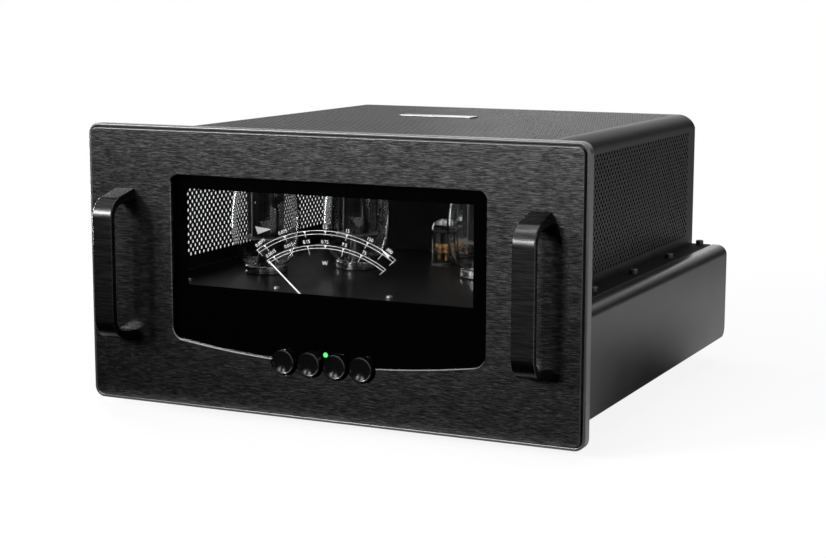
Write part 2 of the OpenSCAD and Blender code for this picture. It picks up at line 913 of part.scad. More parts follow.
// Inner structure of the output valves: stem, two mica discs and the plate box
module power_tube_plates() {
    low = base_h + glass_t;
    box_low = plate_low + mica_t;
    color("#55585b") placed() for (p = power_at) translate([p[0], p[1], deck_z]) {
        translate([0, 0, low]) cylinder(r = stem_w, h = plate_low - low);
        translate([0, 0, plate_low]) cylinder(r = bulb_r - mica_gap, h = mica_t);
        translate([-plate_box[0] / 2, -plate_box[1] / 2, box_low]) cube(plate_box);
        translate([0, 0, box_low + plate_box[2]]) cylinder(r = bulb_r - mica_gap, h = mica_t);
    }
}

module driver_tube(i) {
    shoulder = driver_h - driver_r;
    color("#d8e2e466") placed() translate([driver_at[i][0], driver_at[i][1], deck_z]) rotate_extrude()
        intersection() {
            difference() {
                driver_outline(driver_r, shoulder, driver_foot);
                driver_outline(driver_r - glass_t, shoulder, driver_foot + glass_t);
            }
            area([0, 0], [driver_r, driver_h]);
        }
}

module driver_outline(r, shoulder, low) {
    area([-r, low], [r, shoulder]);
    translate([0, shoulder]) circle(r);
}

module driver_tube_plates() {
    low = driver_foot + glass_t;
    box_low = driver_stem_h + driver_mica_t;
    mica_r = driver_r - glass_t - driver_mica_gap;
    color("#55585b") placed() for (p = driver_at) translate([p[0], p[1], deck_z + low]) {
        cylinder(r = driver_stem_r, h = driver_stem_h);
        translate([0, 0, driver_stem_h]) cylinder(r = mica_r, h = driver_mica_t);
        translate([-driver_box[0] / 2, -driver_box[1] / 2, box_low])
            cube([driver_box[0], driver_box[1], driver_box_h]);
        translate([0, 0, box_low + driver_box_h]) cylinder(r = mica_r, h = driver_mica_t);
    }
}

module tube_sockets() {
    color("#2c2a28") placed() {
        for (p = power_at) translate([p[0], p[1], 0]) {
            translate([0, 0, ledge_z - socket_h]) cylinder(r = base_r, h = socket_h);
            translate([0, 0, ledge_z]) cylinder(r = socket_neck_r, h = deck_t + socket_lip);
        }
        for (p = driver_at) translate([p[0], p[1], 0]) {
            translate([0, 0, ledge_z - socket_h]) cylinder(r = driver_socket_r, h = socket_h);
            translate([0, 0, ledge_z]) cylinder(r = driver_r - fit, h = deck_t + driver_foot);
        }
    }
}

// Potted transformer can with round upright edges
module can(x) {
    rear = case_d - sheet_t - can_rear_gap;
    color("#0f1011") placed() translate([0, 0, deck_z]) linear_extrude(can_h)
        round_area([x, rear - can_d], [x + can_w, rear], can_r);
}

module power_transformer() {
    can(can_gap / 2);
}

module output_transformer() {
    can(-can_gap / 2 - can_w);
}

module main_board() {
    color("#1f5a35") placed() difference() {
        translate([-main_size[0] / 2, main_y, main_z]) cube([main_size[0], main_size[1], board_t]);
        for (p = main_holes) translate([p[0], p[1], main_z - cut])
            cylinder(r = board_hole_r, h = board_t + 2 * cut);
    }
}

module filter_capacitors() {
    y = main_y + main_size[1] - capacitor_inset;
    color("#23303c") placed() for (i = [-1.5:1:1.5])
        translate([i * capacitor_pitch, y, main_z + board_t]) cylinder(r = capacitor_r, h = capacitor_h);
}

// Mains inlet: flange outside, body inside, and three blades in the mouth
module ac_inlet() {
    mouth_end = inlet_flange_t - inlet_mouth_d;
    color("#121213") placed() translate([inlet_x, case_d, rear_row_z]) {
        difference() {
            union() {
                along_y(0, inlet_flange_t) round_area(-inlet_flange / 2, inlet_flange / 2, inlet_flange_r);
                along_y(-inlet_d, 0) square(inlet_body, center = true);
            }
            along_y(mouth_end, inlet_flange_t + cut) square(inlet_mouth, center = true);
        }
        for (p = blade_at) along_y(mouth_end, inlet_flange_t - blade_short)
            translate(p) square(blade_size, center = true);
    }
}

module fuse_holder() {
    color("#151516") placed() translate([fuse_x, case_d, rear_row_z]) difference() {
        union() {
            rod_y(fuse_flange_r, 0, fuse_flange_t);
            rod_y(fuse_r, -fuse_d, 0);
        }
        rod_y(fuse_bore_r + turn_gap, -fuse_bore_d, fuse_flange_t + cut);
    }
}

module fuse_cap() {
    low = fuse_flange_t + fuse_cap_gap;
    high = low + fuse_cap_h;
    color("#1c1c1d") placed() translate([fuse_x, case_d, rear_row_z]) difference() {
        union() {
            rod_y(fuse_cap_r, low, high);
            rod_y(fuse_bore_r, tip_gap - fuse_bore_d, low + cut);
        }
        translate([-fuse_cap_r - cut, high - fuse_slot[1], -fuse_slot[0] / 2])
            cube([2 * (fuse_cap_r + cut), fuse_slot[1] + cut, fuse_slot[0]]);
    }
}

// Three-contact balanced input socket
module balanced_input() {
    color("#2a2b2d") placed() translate([balanced_x, case_d, rear_row_z]) difference() {
        union() {
            along_y(0, balanced_flange_t)
                round_area(-balanced_flange / 2, balanced_flange / 2, balanced_flange_r);
            rod_y(balanced_r, -balanced_d, 0);
        }
        for (a = [90, 210, 330]) translate([contact_ring_r * cos(a), 0, contact_ring_r * sin(a)])
            rod_y(contact_r, -contact_d, balanced_flange_t + cut);
    }
}

// Speaker terminals: insulating collar outside, nut inside and the stem with its end stop
module binding_posts() {
    color("#c9a24a") placed() for (x = post_x) translate([x, case_d, rear_row_z]) {
        rod_y(nut_r + collar_over, 0, post_collar_t);
        rod_y(stem_r, -post_tail, post_reach);
        rod_y(post_nut_in_r, -wall_t - post_nut_in_t, -wall_t);
        rod_y(stem_r + post_cap_over, post_reach - post_cap_t, post_reach);
    }
}

// Nut with six shallow grip flutes
module post_nut(i) {
    color(i == 0 ? "#151516" : "#8c1c1c") placed() translate([post_x[i], case_d, rear_row_z]) difference() {
        rod_y(nut_r, post_collar_t + nut_gap, post_reach - post_cap_t - nut_gap);
        rod_y(stem_r + turn_gap, 0, post_reach + cut);
        for (a = [0:60:300]) translate([(nut_r + flute_out) * cos(a), 0, (nut_r + flute_out) * sin(a)])
            rod_y(flute_r, post_collar_t, post_reach);
    }
}

module post_nut_1() {
    post_nut(0);
}

module post_nut_2() {
    post_nut(1);
}

module post_nut_3() {
    post_nut(2);
}

module post_nut_4() {
    post_nut(3);
}

faceplate();
faceplate_screws();
window_panel();
window_mask();
window_retainer();
front_subpanel();
handle_left();
handle_right();
handle_screws();
side_rail_left();
side_rail_right();
bottom_pan();
rear_panel();
deck_plate();
deck_screws();
cage_cover();
cage_screws();
top_badge();
feet();
foot_screws();
push_button_1();
push_button_2();
push_button_3();
push_button_4();
button_switches();
control_board();
board_standoffs();
status_led();
meter_needle();
meter_movement();
meter_bracket();
power_tube_glass(0);  // power_tube_1_glass
power_tube_glass(1);  // power_tube_2_glass
power_tube_glass(2);  // power_tube_3_glass
power_tube_glass(3);  // power_tube_4_glass
power_tube_base(0);  // power_tube_1_base
power_tube_base(1);  // power_tube_2_base
power_tube_base(2);  // power_tube_3_base
power_tube_base(3);  // power_tube_4_base
power_tube_plates();
driver_tube(0);  // driver_tube_1
driver_tube(1);  // driver_tube_2
driver_tube_plates();
tube_sockets();
power_transformer();
output_transformer();
main_board();
filter_capacitors();
ac_inlet();
fuse_holder();
fuse_cap();
balanced_input();
binding_posts();
post_nut_1();
post_nut_2();
post_nut_3();
post_nut_4();
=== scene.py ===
"""Looks of a monoblock valve amplifier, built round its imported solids.

Shapes are drawn in millimetres from the middle of the faceplate's lower front edge, with x to the
right, y to the rear and z up. PLATE carries a finished mesh into the part's frame, in metres.
"""

import json
import math

import bmesh
import bpy
from mathutils import Euler, Matrix, Vector


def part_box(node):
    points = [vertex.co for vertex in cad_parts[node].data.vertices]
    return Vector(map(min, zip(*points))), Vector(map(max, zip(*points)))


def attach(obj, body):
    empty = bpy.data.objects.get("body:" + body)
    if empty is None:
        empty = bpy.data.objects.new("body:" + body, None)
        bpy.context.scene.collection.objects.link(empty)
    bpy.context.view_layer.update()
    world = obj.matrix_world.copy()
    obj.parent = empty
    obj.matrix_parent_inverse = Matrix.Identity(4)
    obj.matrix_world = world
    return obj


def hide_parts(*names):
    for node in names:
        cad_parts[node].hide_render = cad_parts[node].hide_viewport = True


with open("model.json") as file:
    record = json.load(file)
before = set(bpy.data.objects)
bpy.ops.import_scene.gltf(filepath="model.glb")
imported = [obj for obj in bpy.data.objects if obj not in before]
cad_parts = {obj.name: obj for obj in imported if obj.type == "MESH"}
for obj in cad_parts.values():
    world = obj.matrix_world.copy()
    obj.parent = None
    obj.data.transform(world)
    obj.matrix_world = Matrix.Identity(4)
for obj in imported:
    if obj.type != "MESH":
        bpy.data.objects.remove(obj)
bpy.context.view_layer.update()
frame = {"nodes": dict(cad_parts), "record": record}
nodes = frame["nodes"]
scene = bpy.context.scene
slot_of = {row["node"]: row["material_slot"] for row in frame["record"]["subparts"]}

MM = 0.001
plate_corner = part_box("faceplate")[0]
PLATE = Matrix.Translation((0, plate_corner.y, plate_corner.z)) @ Matrix.Scale(MM, 4)
TO_PLATE = PLATE.inverted()

# Sizes that several pieces share
FACE_T = 12.7
PANEL_REAR = 7.0
DECK_Z = 105.5
CASE_D = 460.0
BUTTON_X = (-38.1, -12.7, 12.7, 38.1)
BUTTON_Z = 51.3
PIVOT_Z = 88.0
POWER_AT = ((-131, 133), (-66, 197), (66, 197), (131, 133))
DRIVER_AT = ((0, 255), (0, 297))

# How near points and levels lie that count as one
NEAR = 0.01
WELD = 0.001


# Shader building

def tone(value):
    """A grey level or a colour as four numbers."""
    if isinstance(value, (int, float)):
        value = (value, value, value)
    return (*value[:3], 1.0)


class Wire:
    """A shader socket. Arithmetic on it adds Math nodes, and make adds any other node."""

    def __init__(self, tree, socket=None):
        self.tree = tree
        self.socket = socket

    def make(self, kind, settings=None, values=None, out=0):
        node = self.tree.nodes.new("ShaderNode" + kind)
        for key, value in (settings or {}).items():
            if key == "stops":
                points = node.color_ramp.elements
                while len(points) < len(value):
                    points.new(1.0)
                for point, (position, shade) in zip(points, value):
                    point.position = position
                    point.color = tone(shade)
            else:
                setattr(node, key, value)
        for key, value in (values or {}).items():
            if isinstance(value, Wire):
                self.tree.links.new(value.socket, node.inputs[key])
            else:
                node.inputs[key].default_value = value
        return Wire(self.tree, node.outputs[out]) if node.outputs else None

    def math(self, operation, a, b):
        return self.make("Math", {"operation": operation}, {0: a, 1: b})

    def __add__(self, other):
        return self.math("ADD", self, other)

    def __mul__(self, other):
        return self.math("MULTIPLY", self, other)

    def ramp(self, *stops):
        return self.make("ValToRGB", {"stops": stops}, {"Fac": self})

    def noise(self, stretch, detail=2.0, rough=0.5):
        """Noise on the piece's own coordinates, with this many waves to the metre along x, y and z."""
        place = self.make("TexCoord", out="Object")
        place = self.make("Mapping", values={"Vector": place, "Scale": stretch})
        return self.make("TexNoise", values={
            "Vector": place, "Scale": 1.0, "Detail": detail, "Roughness": rough})

    def bump(self, height, strength, distance):
        return self.make("Bump", values={"Height": height, "Strength": strength, "Distance": distance})

    def surface(self, **values):
        """The main shader. Names of its sockets are given with underscores for spaces."""
        return self.make("BsdfPrincipled", values={
            key.replace("_", " "): value for key, value in values.items()}, out="BSDF")


def finish(name, paint):
    """A material whose shader the function paint draws."""
    material = bpy.data.materials.new(name)
    material.use_nodes = True
    tree = material.node_tree
    tree.nodes.clear()
    wire = Wire(tree)
    wire.make("OutputMaterial", values={"Surface": paint(wire)})
    return material


# Finishes

FLECK = 2200.0
MOULD_GRIT = 1600.0


def dimmed(colour, share):
    """A colour at a share of its strength."""
    return tuple(level * share for level in tone(colour)[:3])


def brushed_black(wire):
    """Black anodised metal, brushed from side to side and softly blotched."""
    streaks = wire.noise((80, 80, 1200), 3.0, 0.6)
    hairs = wire.noise((180, 180, 2400))
    blotch = wire.noise((45, 45, 110))
    grain = streaks * 0.5 + hairs * 0.42 + blotch * 0.08
    return wire.surface(
        Base_Color=grain.ramp((0.39, 0.028), (0.5, 0.075), (0.61, 0.17)), Specular_Tint=tone(0.6),
        Metallic=1.0, Roughness=grain * 0.16 + 0.16, Anisotropic=0.3, Anisotropic_Rotation=0.25,
        Normal=wire.bump(grain, 0.03, 0.0003))


def drawn_black(wire):
    """Smooth black anodised bar with a faint grain across it."""
    grain = wire.noise((60, 60, 900))
    return wire.surface(
        Base_Color=grain.ramp((0.3, 0.025), (0.7, 0.05)), Metallic=1.0,
        Specular_Tint=tone(0.6), Roughness=grain * 0.06 + 0.24, Normal=wire.bump(grain, 0.03, 0.0002))


def satin_black(shade, rough, gloss=0.5):
    """Black paint or anodising with a fine grit and soft clouds."""
    def paint(wire):
        grit = wire.noise((FLECK, FLECK, FLECK), 2.0, 0.6)
        cloud = wire.noise((22, 22, 22), 3.0, 0.5)
        return wire.surface(
            Base_Color=cloud.ramp((0.3, shade * 0.8), (0.7, shade * 1.25)), Specular_IOR_Level=gloss,
            Roughness=grit * 0.12 + cloud * 0.08 + (rough - 0.1),
            Normal=wire.bump(grit, 0.12, 0.0002))
    return paint


def plain_metal(colour, rough, wear=0.06):
    """Bare or plated metal with a slight haze."""
    def paint(wire):
        haze = wire.noise((240, 240, 240), 3.0, 0.6)
        return wire.surface(
            Base_Color=haze.ramp((0.3, dimmed(colour, 0.82)), (0.7, colour)), Metallic=1.0,
            Roughness=haze * wear + (rough - wear / 2))
    return paint


def moulded(colour, rough, gloss=0.5):
    """Moulded plastic or rubber with a fine grit."""
    def paint(wire):
        grit = wire.noise((MOULD_GRIT, MOULD_GRIT, MOULD_GRIT))
        return wire.surface(
            Base_Color=grit.ramp((0.3, dimmed(colour, 0.85)), (0.7, colour)), Specular_IOR_Level=gloss,
            Roughness=grit * 0.1 + (rough - 0.05), Normal=wire.bump(grit, 0.08, 0.0002))
    return paint


def clear(tint, bend):
    """Clear sheet or glass that lets the lamps' light through to what is behind it."""
    def paint(wire):
        film = wire.noise((30, 30, 30))
        body = wire.surface(
            Base_Color=tone(tint), Roughness=film * 0.012, IOR=bend, Transmission_Weight=1.0)
        shadow = wire.make("LightPath", out="Is Shadow Ray")
        through = wire.make("BsdfTransparent", values={"Color": tone(tint)})
        return wire.make("MixShader", values={0: shadow, 1: body, 2: through})
    return paint


def glowing(colour, light, strength):
    """Paint or plastic that gives some light of its own: the LED is a real lamp; the needle, the meter
    print and valve 1's wedge have a painted glow.
    """
    def paint(wire):
        haze = wire.noise((400, 400, 400))
        return wire.surface(
            Base_Color=haze.ramp((0.3, dimmed(colour, 0.9)), (0.7, colour)), Roughness=0.45,
            Emission_Color=tone(light), Emission_Strength=strength)
    return paint


def amber(wire):
    """Brown heater metal with a faint uneven glow."""
    patch = wire.noise((260, 260, 340))
    return wire.surface(
        Base_Color=patch.ramp((0.4, (0.03, 0.015, 0.005)), (0.62, (0.42, 0.21, 0.05))), Roughness=0.35,
        Emission_Color=patch.ramp((0.45, (0.0, 0.0, 0.0)), (0.65, (1.0, 0.45, 0.1))),
        Emission_Strength=0.08)


def board(wire):
    """Green lacquer over a faint grid of tracks."""
    tracks = wire.noise((160, 40, 160), 1.0, 0.4)
    return wire.surface(
        Base_Color=tracks.ramp((0.46, (0.012, 0.09, 0.035)), (0.5, (0.02, 0.16, 0.06))),
        Roughness=0.35, Normal=wire.bump(tracks, 0.1, 0.0002))


FINISH = {name: finish(name, paint) for name, paint in {
    "black_anodised": brushed_black,
    "clear_panel": clear((0.78, 0.78, 0.78), 1.49),
    "black_mask": moulded((0.001, 0.001, 0.001), 0.6, gloss=0.0),
    "black_paint": satin_black(0.008, 0.5),
    "grey_steel": satin_black(0.012, 0.45),
    "plated_steel": plain_metal((0.62, 0.62, 0.6), 0.3),
    "chassis_satin": satin_black(0.008, 0.33, gloss=0.2),
    "deck_paint": satin_black(0.004, 0.36, gloss=0.13),
    "cage_paint": satin_black(0.006, 0.42, gloss=0.12),
    "bright_plate": plain_metal((0.24, 0.24, 0.235), 0.3),
    "rubber": moulded((0.014, 0.014, 0.014), 0.75),
    "switch_plastic": moulded((0.02, 0.02, 0.021), 0.5),
    "board_green": board,
    "brass_fittings": plain_metal((0.72, 0.5, 0.2), 0.3),
    "green_light": glowing((0.1, 0.4, 0.15), (0.12, 0.8, 0.22), 0.9),
    # The needle's white also gives some light: a painted glow
    "needle_white": glowing((0.8, 0.8, 0.78), (1.0, 1.0, 1.0), 0.3),
    "tube_plate": plain_metal((0.05, 0.05, 0.052), 0.36, 0.04),
    "tube_glass": clear((0.97, 0.98, 0.98), 1.48),
    "tube_chrome": plain_metal((0.62, 0.62, 0.62), 0.16, 0.04),
    "socket_plastic": moulded((0.02, 0.019, 0.018), 0.45),
    "transformer_paint": satin_black(0.002, 0.5, gloss=0.12),
    "capacitor_sleeve": moulded((0.02, 0.03, 0.05), 0.35),
    "gold_plate": plain_metal((0.86, 0.62, 0.24), 0.2),
    "nut_black": moulded((0.012, 0.012, 0.012), 0.3),
    "nut_red": moulded((0.3, 0.016, 0.014), 0.3),
    "button_gloss": moulded((0.002, 0.002, 0.002), 0.14, gloss=0.1),
}.items()}
# White print with an emission: a painted glow, since the print is no lamp
GLOWING_PRINT = finish("white_print_painted_glow", glowing((0.6, 0.6, 0.6), (1.0, 1.0, 1.0), 0.28))
HEATER = finish("heater_glow", amber)
MICA = finish("mica_grey", moulded((0.12, 0.12, 0.11), 0.3))
# A glowing white for a small wedge in valve 1: a painted glint
GLINT_GLOW = finish("painted_glint_white", glowing((0.85, 0.85, 0.83), (1.0, 1.0, 1.0), 0.5))
GETTER = finish("getter_silver", plain_metal((0.55, 0.54, 0.52), 0.12))
HANDLE_BLACK = finish("handle_black", drawn_black)
# Lighter bare metal for the chamfer's upward faces under the window: a painted highlight
HIGHLIGHT_EDGE = finish("painted_highlight_edge", plain_metal((0.2, 0.2, 0.2), 0.3))
RIM_SATIN = finish("rim_satin", plain_metal((0.11, 0.11, 0.112), 0.38))
LIP_METAL = finish("lip_metal", plain_metal((0.1, 0.1, 0.1), 0.2))
# Near-black paint for hole walls and the cage's foot flanges: painted shade
SHADE_BLACK = finish("painted_shade_black", moulded((0.002, 0.002, 0.002), 0.8, gloss=0.05))


# Piece building

EASED_ANGLE = 40
FLAT_ANGLE = 0.6
stood_for = set()


def piece(name, bm, material, *stands_for, body="case", slot=None, sharp=35, flat=False):
    """Makes an object of a bmesh, hides the nodes it stands for and rides it on its body."""
    bm.transform(PLATE)
    for face in bm.faces:
        face.smooth = True
    for edge in bm.edges:
        if len(edge.link_faces) == 2:
            edge.smooth = edge.calc_face_angle(0.0) < math.radians(sharp)
    mesh = bpy.data.meshes.new(name)
    bm.to_mesh(mesh)
    bm.free()
    mesh.materials.append(material)
    thing = bpy.data.objects.new(name, mesh)
    scene.collection.objects.link(thing)
    if flat:
        thing.modifiers.new("even_shading", "WEIGHTED_NORMAL").keep_sharp = True
    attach(thing, body)
    if stands_for:
        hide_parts(*stands_for)
        stood_for.update(stands_for)
        slot = slot or slot_of[stands_for[0]]
    return thing


def dress(node):
    """Gives a node that keeps its own shape the finish of its slot."""
    slots = nodes[node].data.materials
    slots.clear()
    slots.append(FINISH[slot_of[node]])


def copy_of(node):
    """A copy of a node's mesh in plate millimetres, with its corners joined and flat faces whole."""
    bm = bmesh.new()
    bm.from_mesh(nodes[node].data)
    bm.transform(TO_PLATE)
    bmesh.ops.remove_doubles(bm, verts=bm.verts, dist=2 * WELD)
    bmesh.ops.dissolve_limit(bm, angle_limit=math.radians(FLAT_ANGLE), verts=bm.verts, edges=bm.edges)
    return bm


def eased(name, node, width, segments, body="case"):
    """A node's shape with its sharp edges rounded."""
    bm = copy_of(node)
    edges = [e for e in bm.edges
             if len(e.link_faces) == 2 and e.calc_face_angle(0.0) > math.radians(EASED_ANGLE)]
    round_off(bm, edges, width, segments)
    return piece(name, bm, FINISH[slot_of[node]], node, body=body, flat=True)


def round_off(bm, edges, width, segments):
    """Rounds some edges of a bmesh and gives the new faces."""
    return bmesh.ops.bevel(bm, geom=edges, offset=width, offset_type="OFFSET", segments=segments,
                           profile=0.5, affect="EDGES", clamp_overlap=False, material=-1)["faces"]


def turned(profile, steps, into=None, turn=None):
    """Spins a profile of radius and height about an upright axis."""
    bm = bmesh.new()
    points = [bm.verts.new((r, 0, h)) for r, h in profile]
    edges = [bm.edges.new(pair) for pair in zip(points, points[1:])]
    bmesh.ops.spin(bm, geom=points + edges, cent=(0, 0, 0), axis=(0, 0, 1), dvec=(0, 0, 0),
                   angle=math.tau, steps=steps, use_merge=True)
    bmesh.ops.remove_doubles(bm, verts=bm.verts, dist=WELD)
    bmesh.ops.recalc_face_normals(bm, faces=bm.faces)
    if turn is not None:
        bm.transform(turn)
    if into is not None:
        add_to(into, bm)
        return into
    return bm


def add_to(whole, bm):
    """Adds a bmesh to another one."""
    mesh = bpy.data.meshes.new("part")
    bm.to_mesh(mesh)
    bm.free()
    whole.from_mesh(mesh)
    bpy.data.meshes.remove(mesh)


def points_in(made):
    """The points among what an operation made."""
    return [part for part in made if isinstance(part, bmesh.types.BMVert)]


def lines_in(made):
    """The edges among what an operation made."""
    return [part for part in made if isinstance(part, bmesh.types.BMEdge)]


def coat(faces, index):
    """Gives faces one of their piece's materials, by its place in the list."""
    for face in faces:
        face.material_index = index


def at(x, y, z):
    """A move by x, y and z."""
    return Matrix.Translation((x, y, z))


FORWARD = Matrix.Rotation(math.radians(90), 4, "X")


def arc_points(centre, radius, start, end, steps):
    """Points of an arc in the plane of a profile, angles in degrees from the first axis."""
    turns = [math.radians(start + (end - start) * i / steps) for i in range(steps + 1)]
    return [(centre[0] + radius * math.cos(a), centre[1] + radius * math.sin(a)) for a in turns]


# Faceplate: rounded rim and bead, groove round the raised face and a bright edge under the window. The
# groove and the downward faces round the border are painted shade, and the bright edge is a painted
# highlight on the chamfer's upward faces

FACE_W = 482.6
FACE_H = 254.0
FACE_R = 10.0
RIM_W = 4.0
RIM_DROP = 2.6
RIM_R = 1.1
BEAD_R = 1.4
GROOVE_W = 0.7
GROOVE_Y = 4.4
FACE_EASE = 0.45
REAR_EASE = 0.6
WINDOW_CHAMFER = 0.7
WINDOW_REACH = 160
BORDER_BAND = 15
CORNER_ANGLE = 0.5
SIDEWAYS = 0.3
UPWARD = 0.3
DOWNWARD = -0.25
# Material places: brushed face, painted highlight edge, painted shade, satin rim
BRUSHED, PAINTED_HIGHLIGHT, PAINTED_SHADE, SATIN = range(4)


def faceplate():
    bm = copy_of("faceplate")

    def corners(depth):
        """The sharp edges at some depth behind the front."""
        return [e for e in bm.edges if len(e.link_faces) == 2 and e.calc_face_angle(0.0) > CORNER_ANGLE
                and all(abs(v.co.y - depth) < NEAR for v in e.verts)]

    def by_window(edge):
        return all(abs(v.co.x) < WINDOW_REACH for v in edge.verts)

    def by_border(part):
        return all(abs(v.co.x) > FACE_W / 2 - BORDER_BAND
                   or not BORDER_BAND < v.co.z < FACE_H - BORDER_BAND for v in part.verts)

    def move_in(vert, reach):
        """Moves a point of the border towards the middle, square to the border."""
        heart = vert.co.copy()
        heart.x = max(FACE_R - FACE_W / 2, min(FACE_W / 2 - FACE_R, heart.x))
        heart.z = max(FACE_R, min(FACE_H - FACE_R, heart.z))
        vert.co -= (vert.co - heart).normalized() * reach

    def drawn(edges):
        """Extrudes a ring of edges and gives the new ring with its points."""
        ring = lines_in(bmesh.ops.extrude_edge_only(bm, edges=edges)["geom"])
        return ring, {v for e in ring for v in e.verts}

    round_off(bm, [e for e in corners(FACE_T) if by_border(e) and e.is_convex], REAR_EASE, 2)
    coat(round_off(bm, [e for e in corners(RIM_DROP) if e.is_convex], RIM_R, 5), SATIN)
    ledge = [f for f in bm.faces if all(abs(v.co.y - RIM_DROP) < NEAR for v in f.verts)]
    bmesh.ops.delete(bm, geom=ledge, context="FACES")
    rings = [e for e in bm.edges if e.is_boundary]
    wall = [e for e in rings if any(abs(v.co.y) < NEAR for v in e.link_faces[0].verts)]
    for vert in {v for e in wall for v in e.verts}:
        vert.co.y = GROOVE_Y
    crest, points = drawn([e for e in rings if e not in wall])
    # The groove's faces get the dark paint: painted shade in the groove
    coat({f for e in crest for f in e.link_faces}, PAINTED_SHADE)
    for vert in points:
        move_in(vert, RIM_W - RIM_R - GROOVE_W)
    bead, points = drawn(crest)
    for vert in points:
        vert.co.y = GROOVE_Y
    coat({f for e in wall + bead for f in e.link_faces}, PAINTED_SHADE)
    coat(bmesh.ops.bridge_loops(bm, edges=wall + bead)["faces"], PAINTED_SHADE)
    coat(round_off(bm, crest, BEAD_R, 5), SATIN)
    coat(round_off(bm, [e for e in corners(0.0) if by_border(e)], FACE_EASE, 2), SATIN)
    chamfer = round_off(bm, [e for e in corners(0.0) if by_window(e)], WINDOW_CHAMFER, 1)
    bmesh.ops.recalc_face_normals(bm, faces=bm.faces)
    # Chamfer faces that face up get the lighter bare metal, a painted highlight; the others stay
    # brushed
    for face in chamfer:
        face.material_index = PAINTED_HIGHLIGHT if face.normal.z > UPWARD else BRUSHED
    # Faces round the border that face down get the dark paint: painted shade under the plate's edge
    for face in bm.faces:
        if face.normal.z < DOWNWARD and by_border(face):
            face.material_index = PAINTED_SHADE
        elif face.material_index == BRUSHED and abs(face.normal.y) < SIDEWAYS and by_border(face):
            face.material_index = SATIN
    thing = piece("front_plate", bm, FINISH["black_anodised"], "faceplate", flat=True)
    for material in (HIGHLIGHT_EDGE, FINISH["black_paint"], RIM_SATIN):
        thing.data.materials.append(material)
    return thing


# Handles: a flat bar with splayed legs, two bends and eased edges

HANDLE_X = 201.0
HANDLE_W = 20.0
HANDLE_T = 6.35
HANDLE_REACH = 38.0
HANDLE_LOW = 57.3
HANDLE_R = 19.0
LEG_T = 10.0
LEG_SPLAY = 14.0
LEG_TAPER = 7.0
HANDLE_EASE = 1.0


def half_bow(front, low, slope, radius):
    """The lower half of one side of a handle, as points of y and z from the plate to its front."""
    middle = front + radius
    tilt = math.radians(slope)
    rise = low - middle * math.tan(tilt) + radius / math.cos(tilt)
    return [(0.0, low), *arc_points((middle, rise), radius, 270 - slope, 180, 12)]


def handle(side, x):
    outer = half_bow(-HANDLE_REACH, HANDLE_LOW, LEG_SPLAY, HANDLE_R)
    inner = half_bow(HANDLE_T - HANDLE_REACH, HANDLE_LOW + LEG_T, LEG_TAPER, HANDLE_R - HANDLE_T)
    path = outer + [(y, FACE_H - z) for y, z in reversed(outer)]
    path += [(y, FACE_H - z) for y, z in inner] + inner[::-1]
    bm = bmesh.new()
    cheek = bm.faces.new([bm.verts.new((x - HANDLE_W / 2, y, z)) for y, z in path])
    made = bmesh.ops.extrude_face_region(bm, geom=[cheek], use_keep_orig=True)["geom"]
    bmesh.ops.translate(bm, vec=(HANDLE_W, 0, 0), verts=points_in(made))
    bmesh.ops.recalc_face_normals(bm, faces=bm.faces)
    rims = [e for e in bm.edges if abs(e.verts[0].co.x - e.verts[1].co.x) < NEAR
            and any(v.co.y < -NEAR for v in e.verts)]
    round_off(bm, rims, HANDLE_EASE, 3)
    return piece(f"handle_bar_{side}", bm, HANDLE_BLACK, f"handle_{side}", flat=True)


# Perforated cage: a bent frame and sheets of staggered holes. Hole walls and the foot flanges are near
# black: painted shade

CAGE_X = 192.8
CAGE_TOP = 247.8
CAGE_R = 13.0
CAGE_FRONT = 12.9
CAGE_BEVEL = 14.0
SHEET_T = 1.0
MESH_T = 0.8
FLANGE_TOP = 112.8
FLANGE_X = 212.8
HOLE_CELL = 7.7
HOLE_R = 1.88
HOLE_SIDES = 8
FIELD_Y = 21.2
FIELD_CELLS_Y = 54
FIELD_Z = 122.6
FIELD_CELLS_Z = 14
FIELD_CELLS_X = 46
FIELD_X = FIELD_CELLS_X * HOLE_CELL / 2
FIELD_Y_END = FIELD_Y + FIELD_CELLS_Y * HOLE_CELL
FIELD_Z_END = FIELD_Z + FIELD_CELLS_Z * HOLE_CELL
REAR_CELLS_X = 42
REAR_X = REAR_CELLS_X * HOLE_CELL / 2
FIELD_SLACK = 0.1
CUT_NEAR = 0.0001


def solid_sheet(thing, thickness=SHEET_T):
    """Gives a sheet its thickness, inwards."""
    wall = thing.modifiers.new("thickness", "SOLIDIFY")
    wall.thickness = thickness * MM
    wall.offset = -1.0
    wall.use_even_offset = True
    return thing


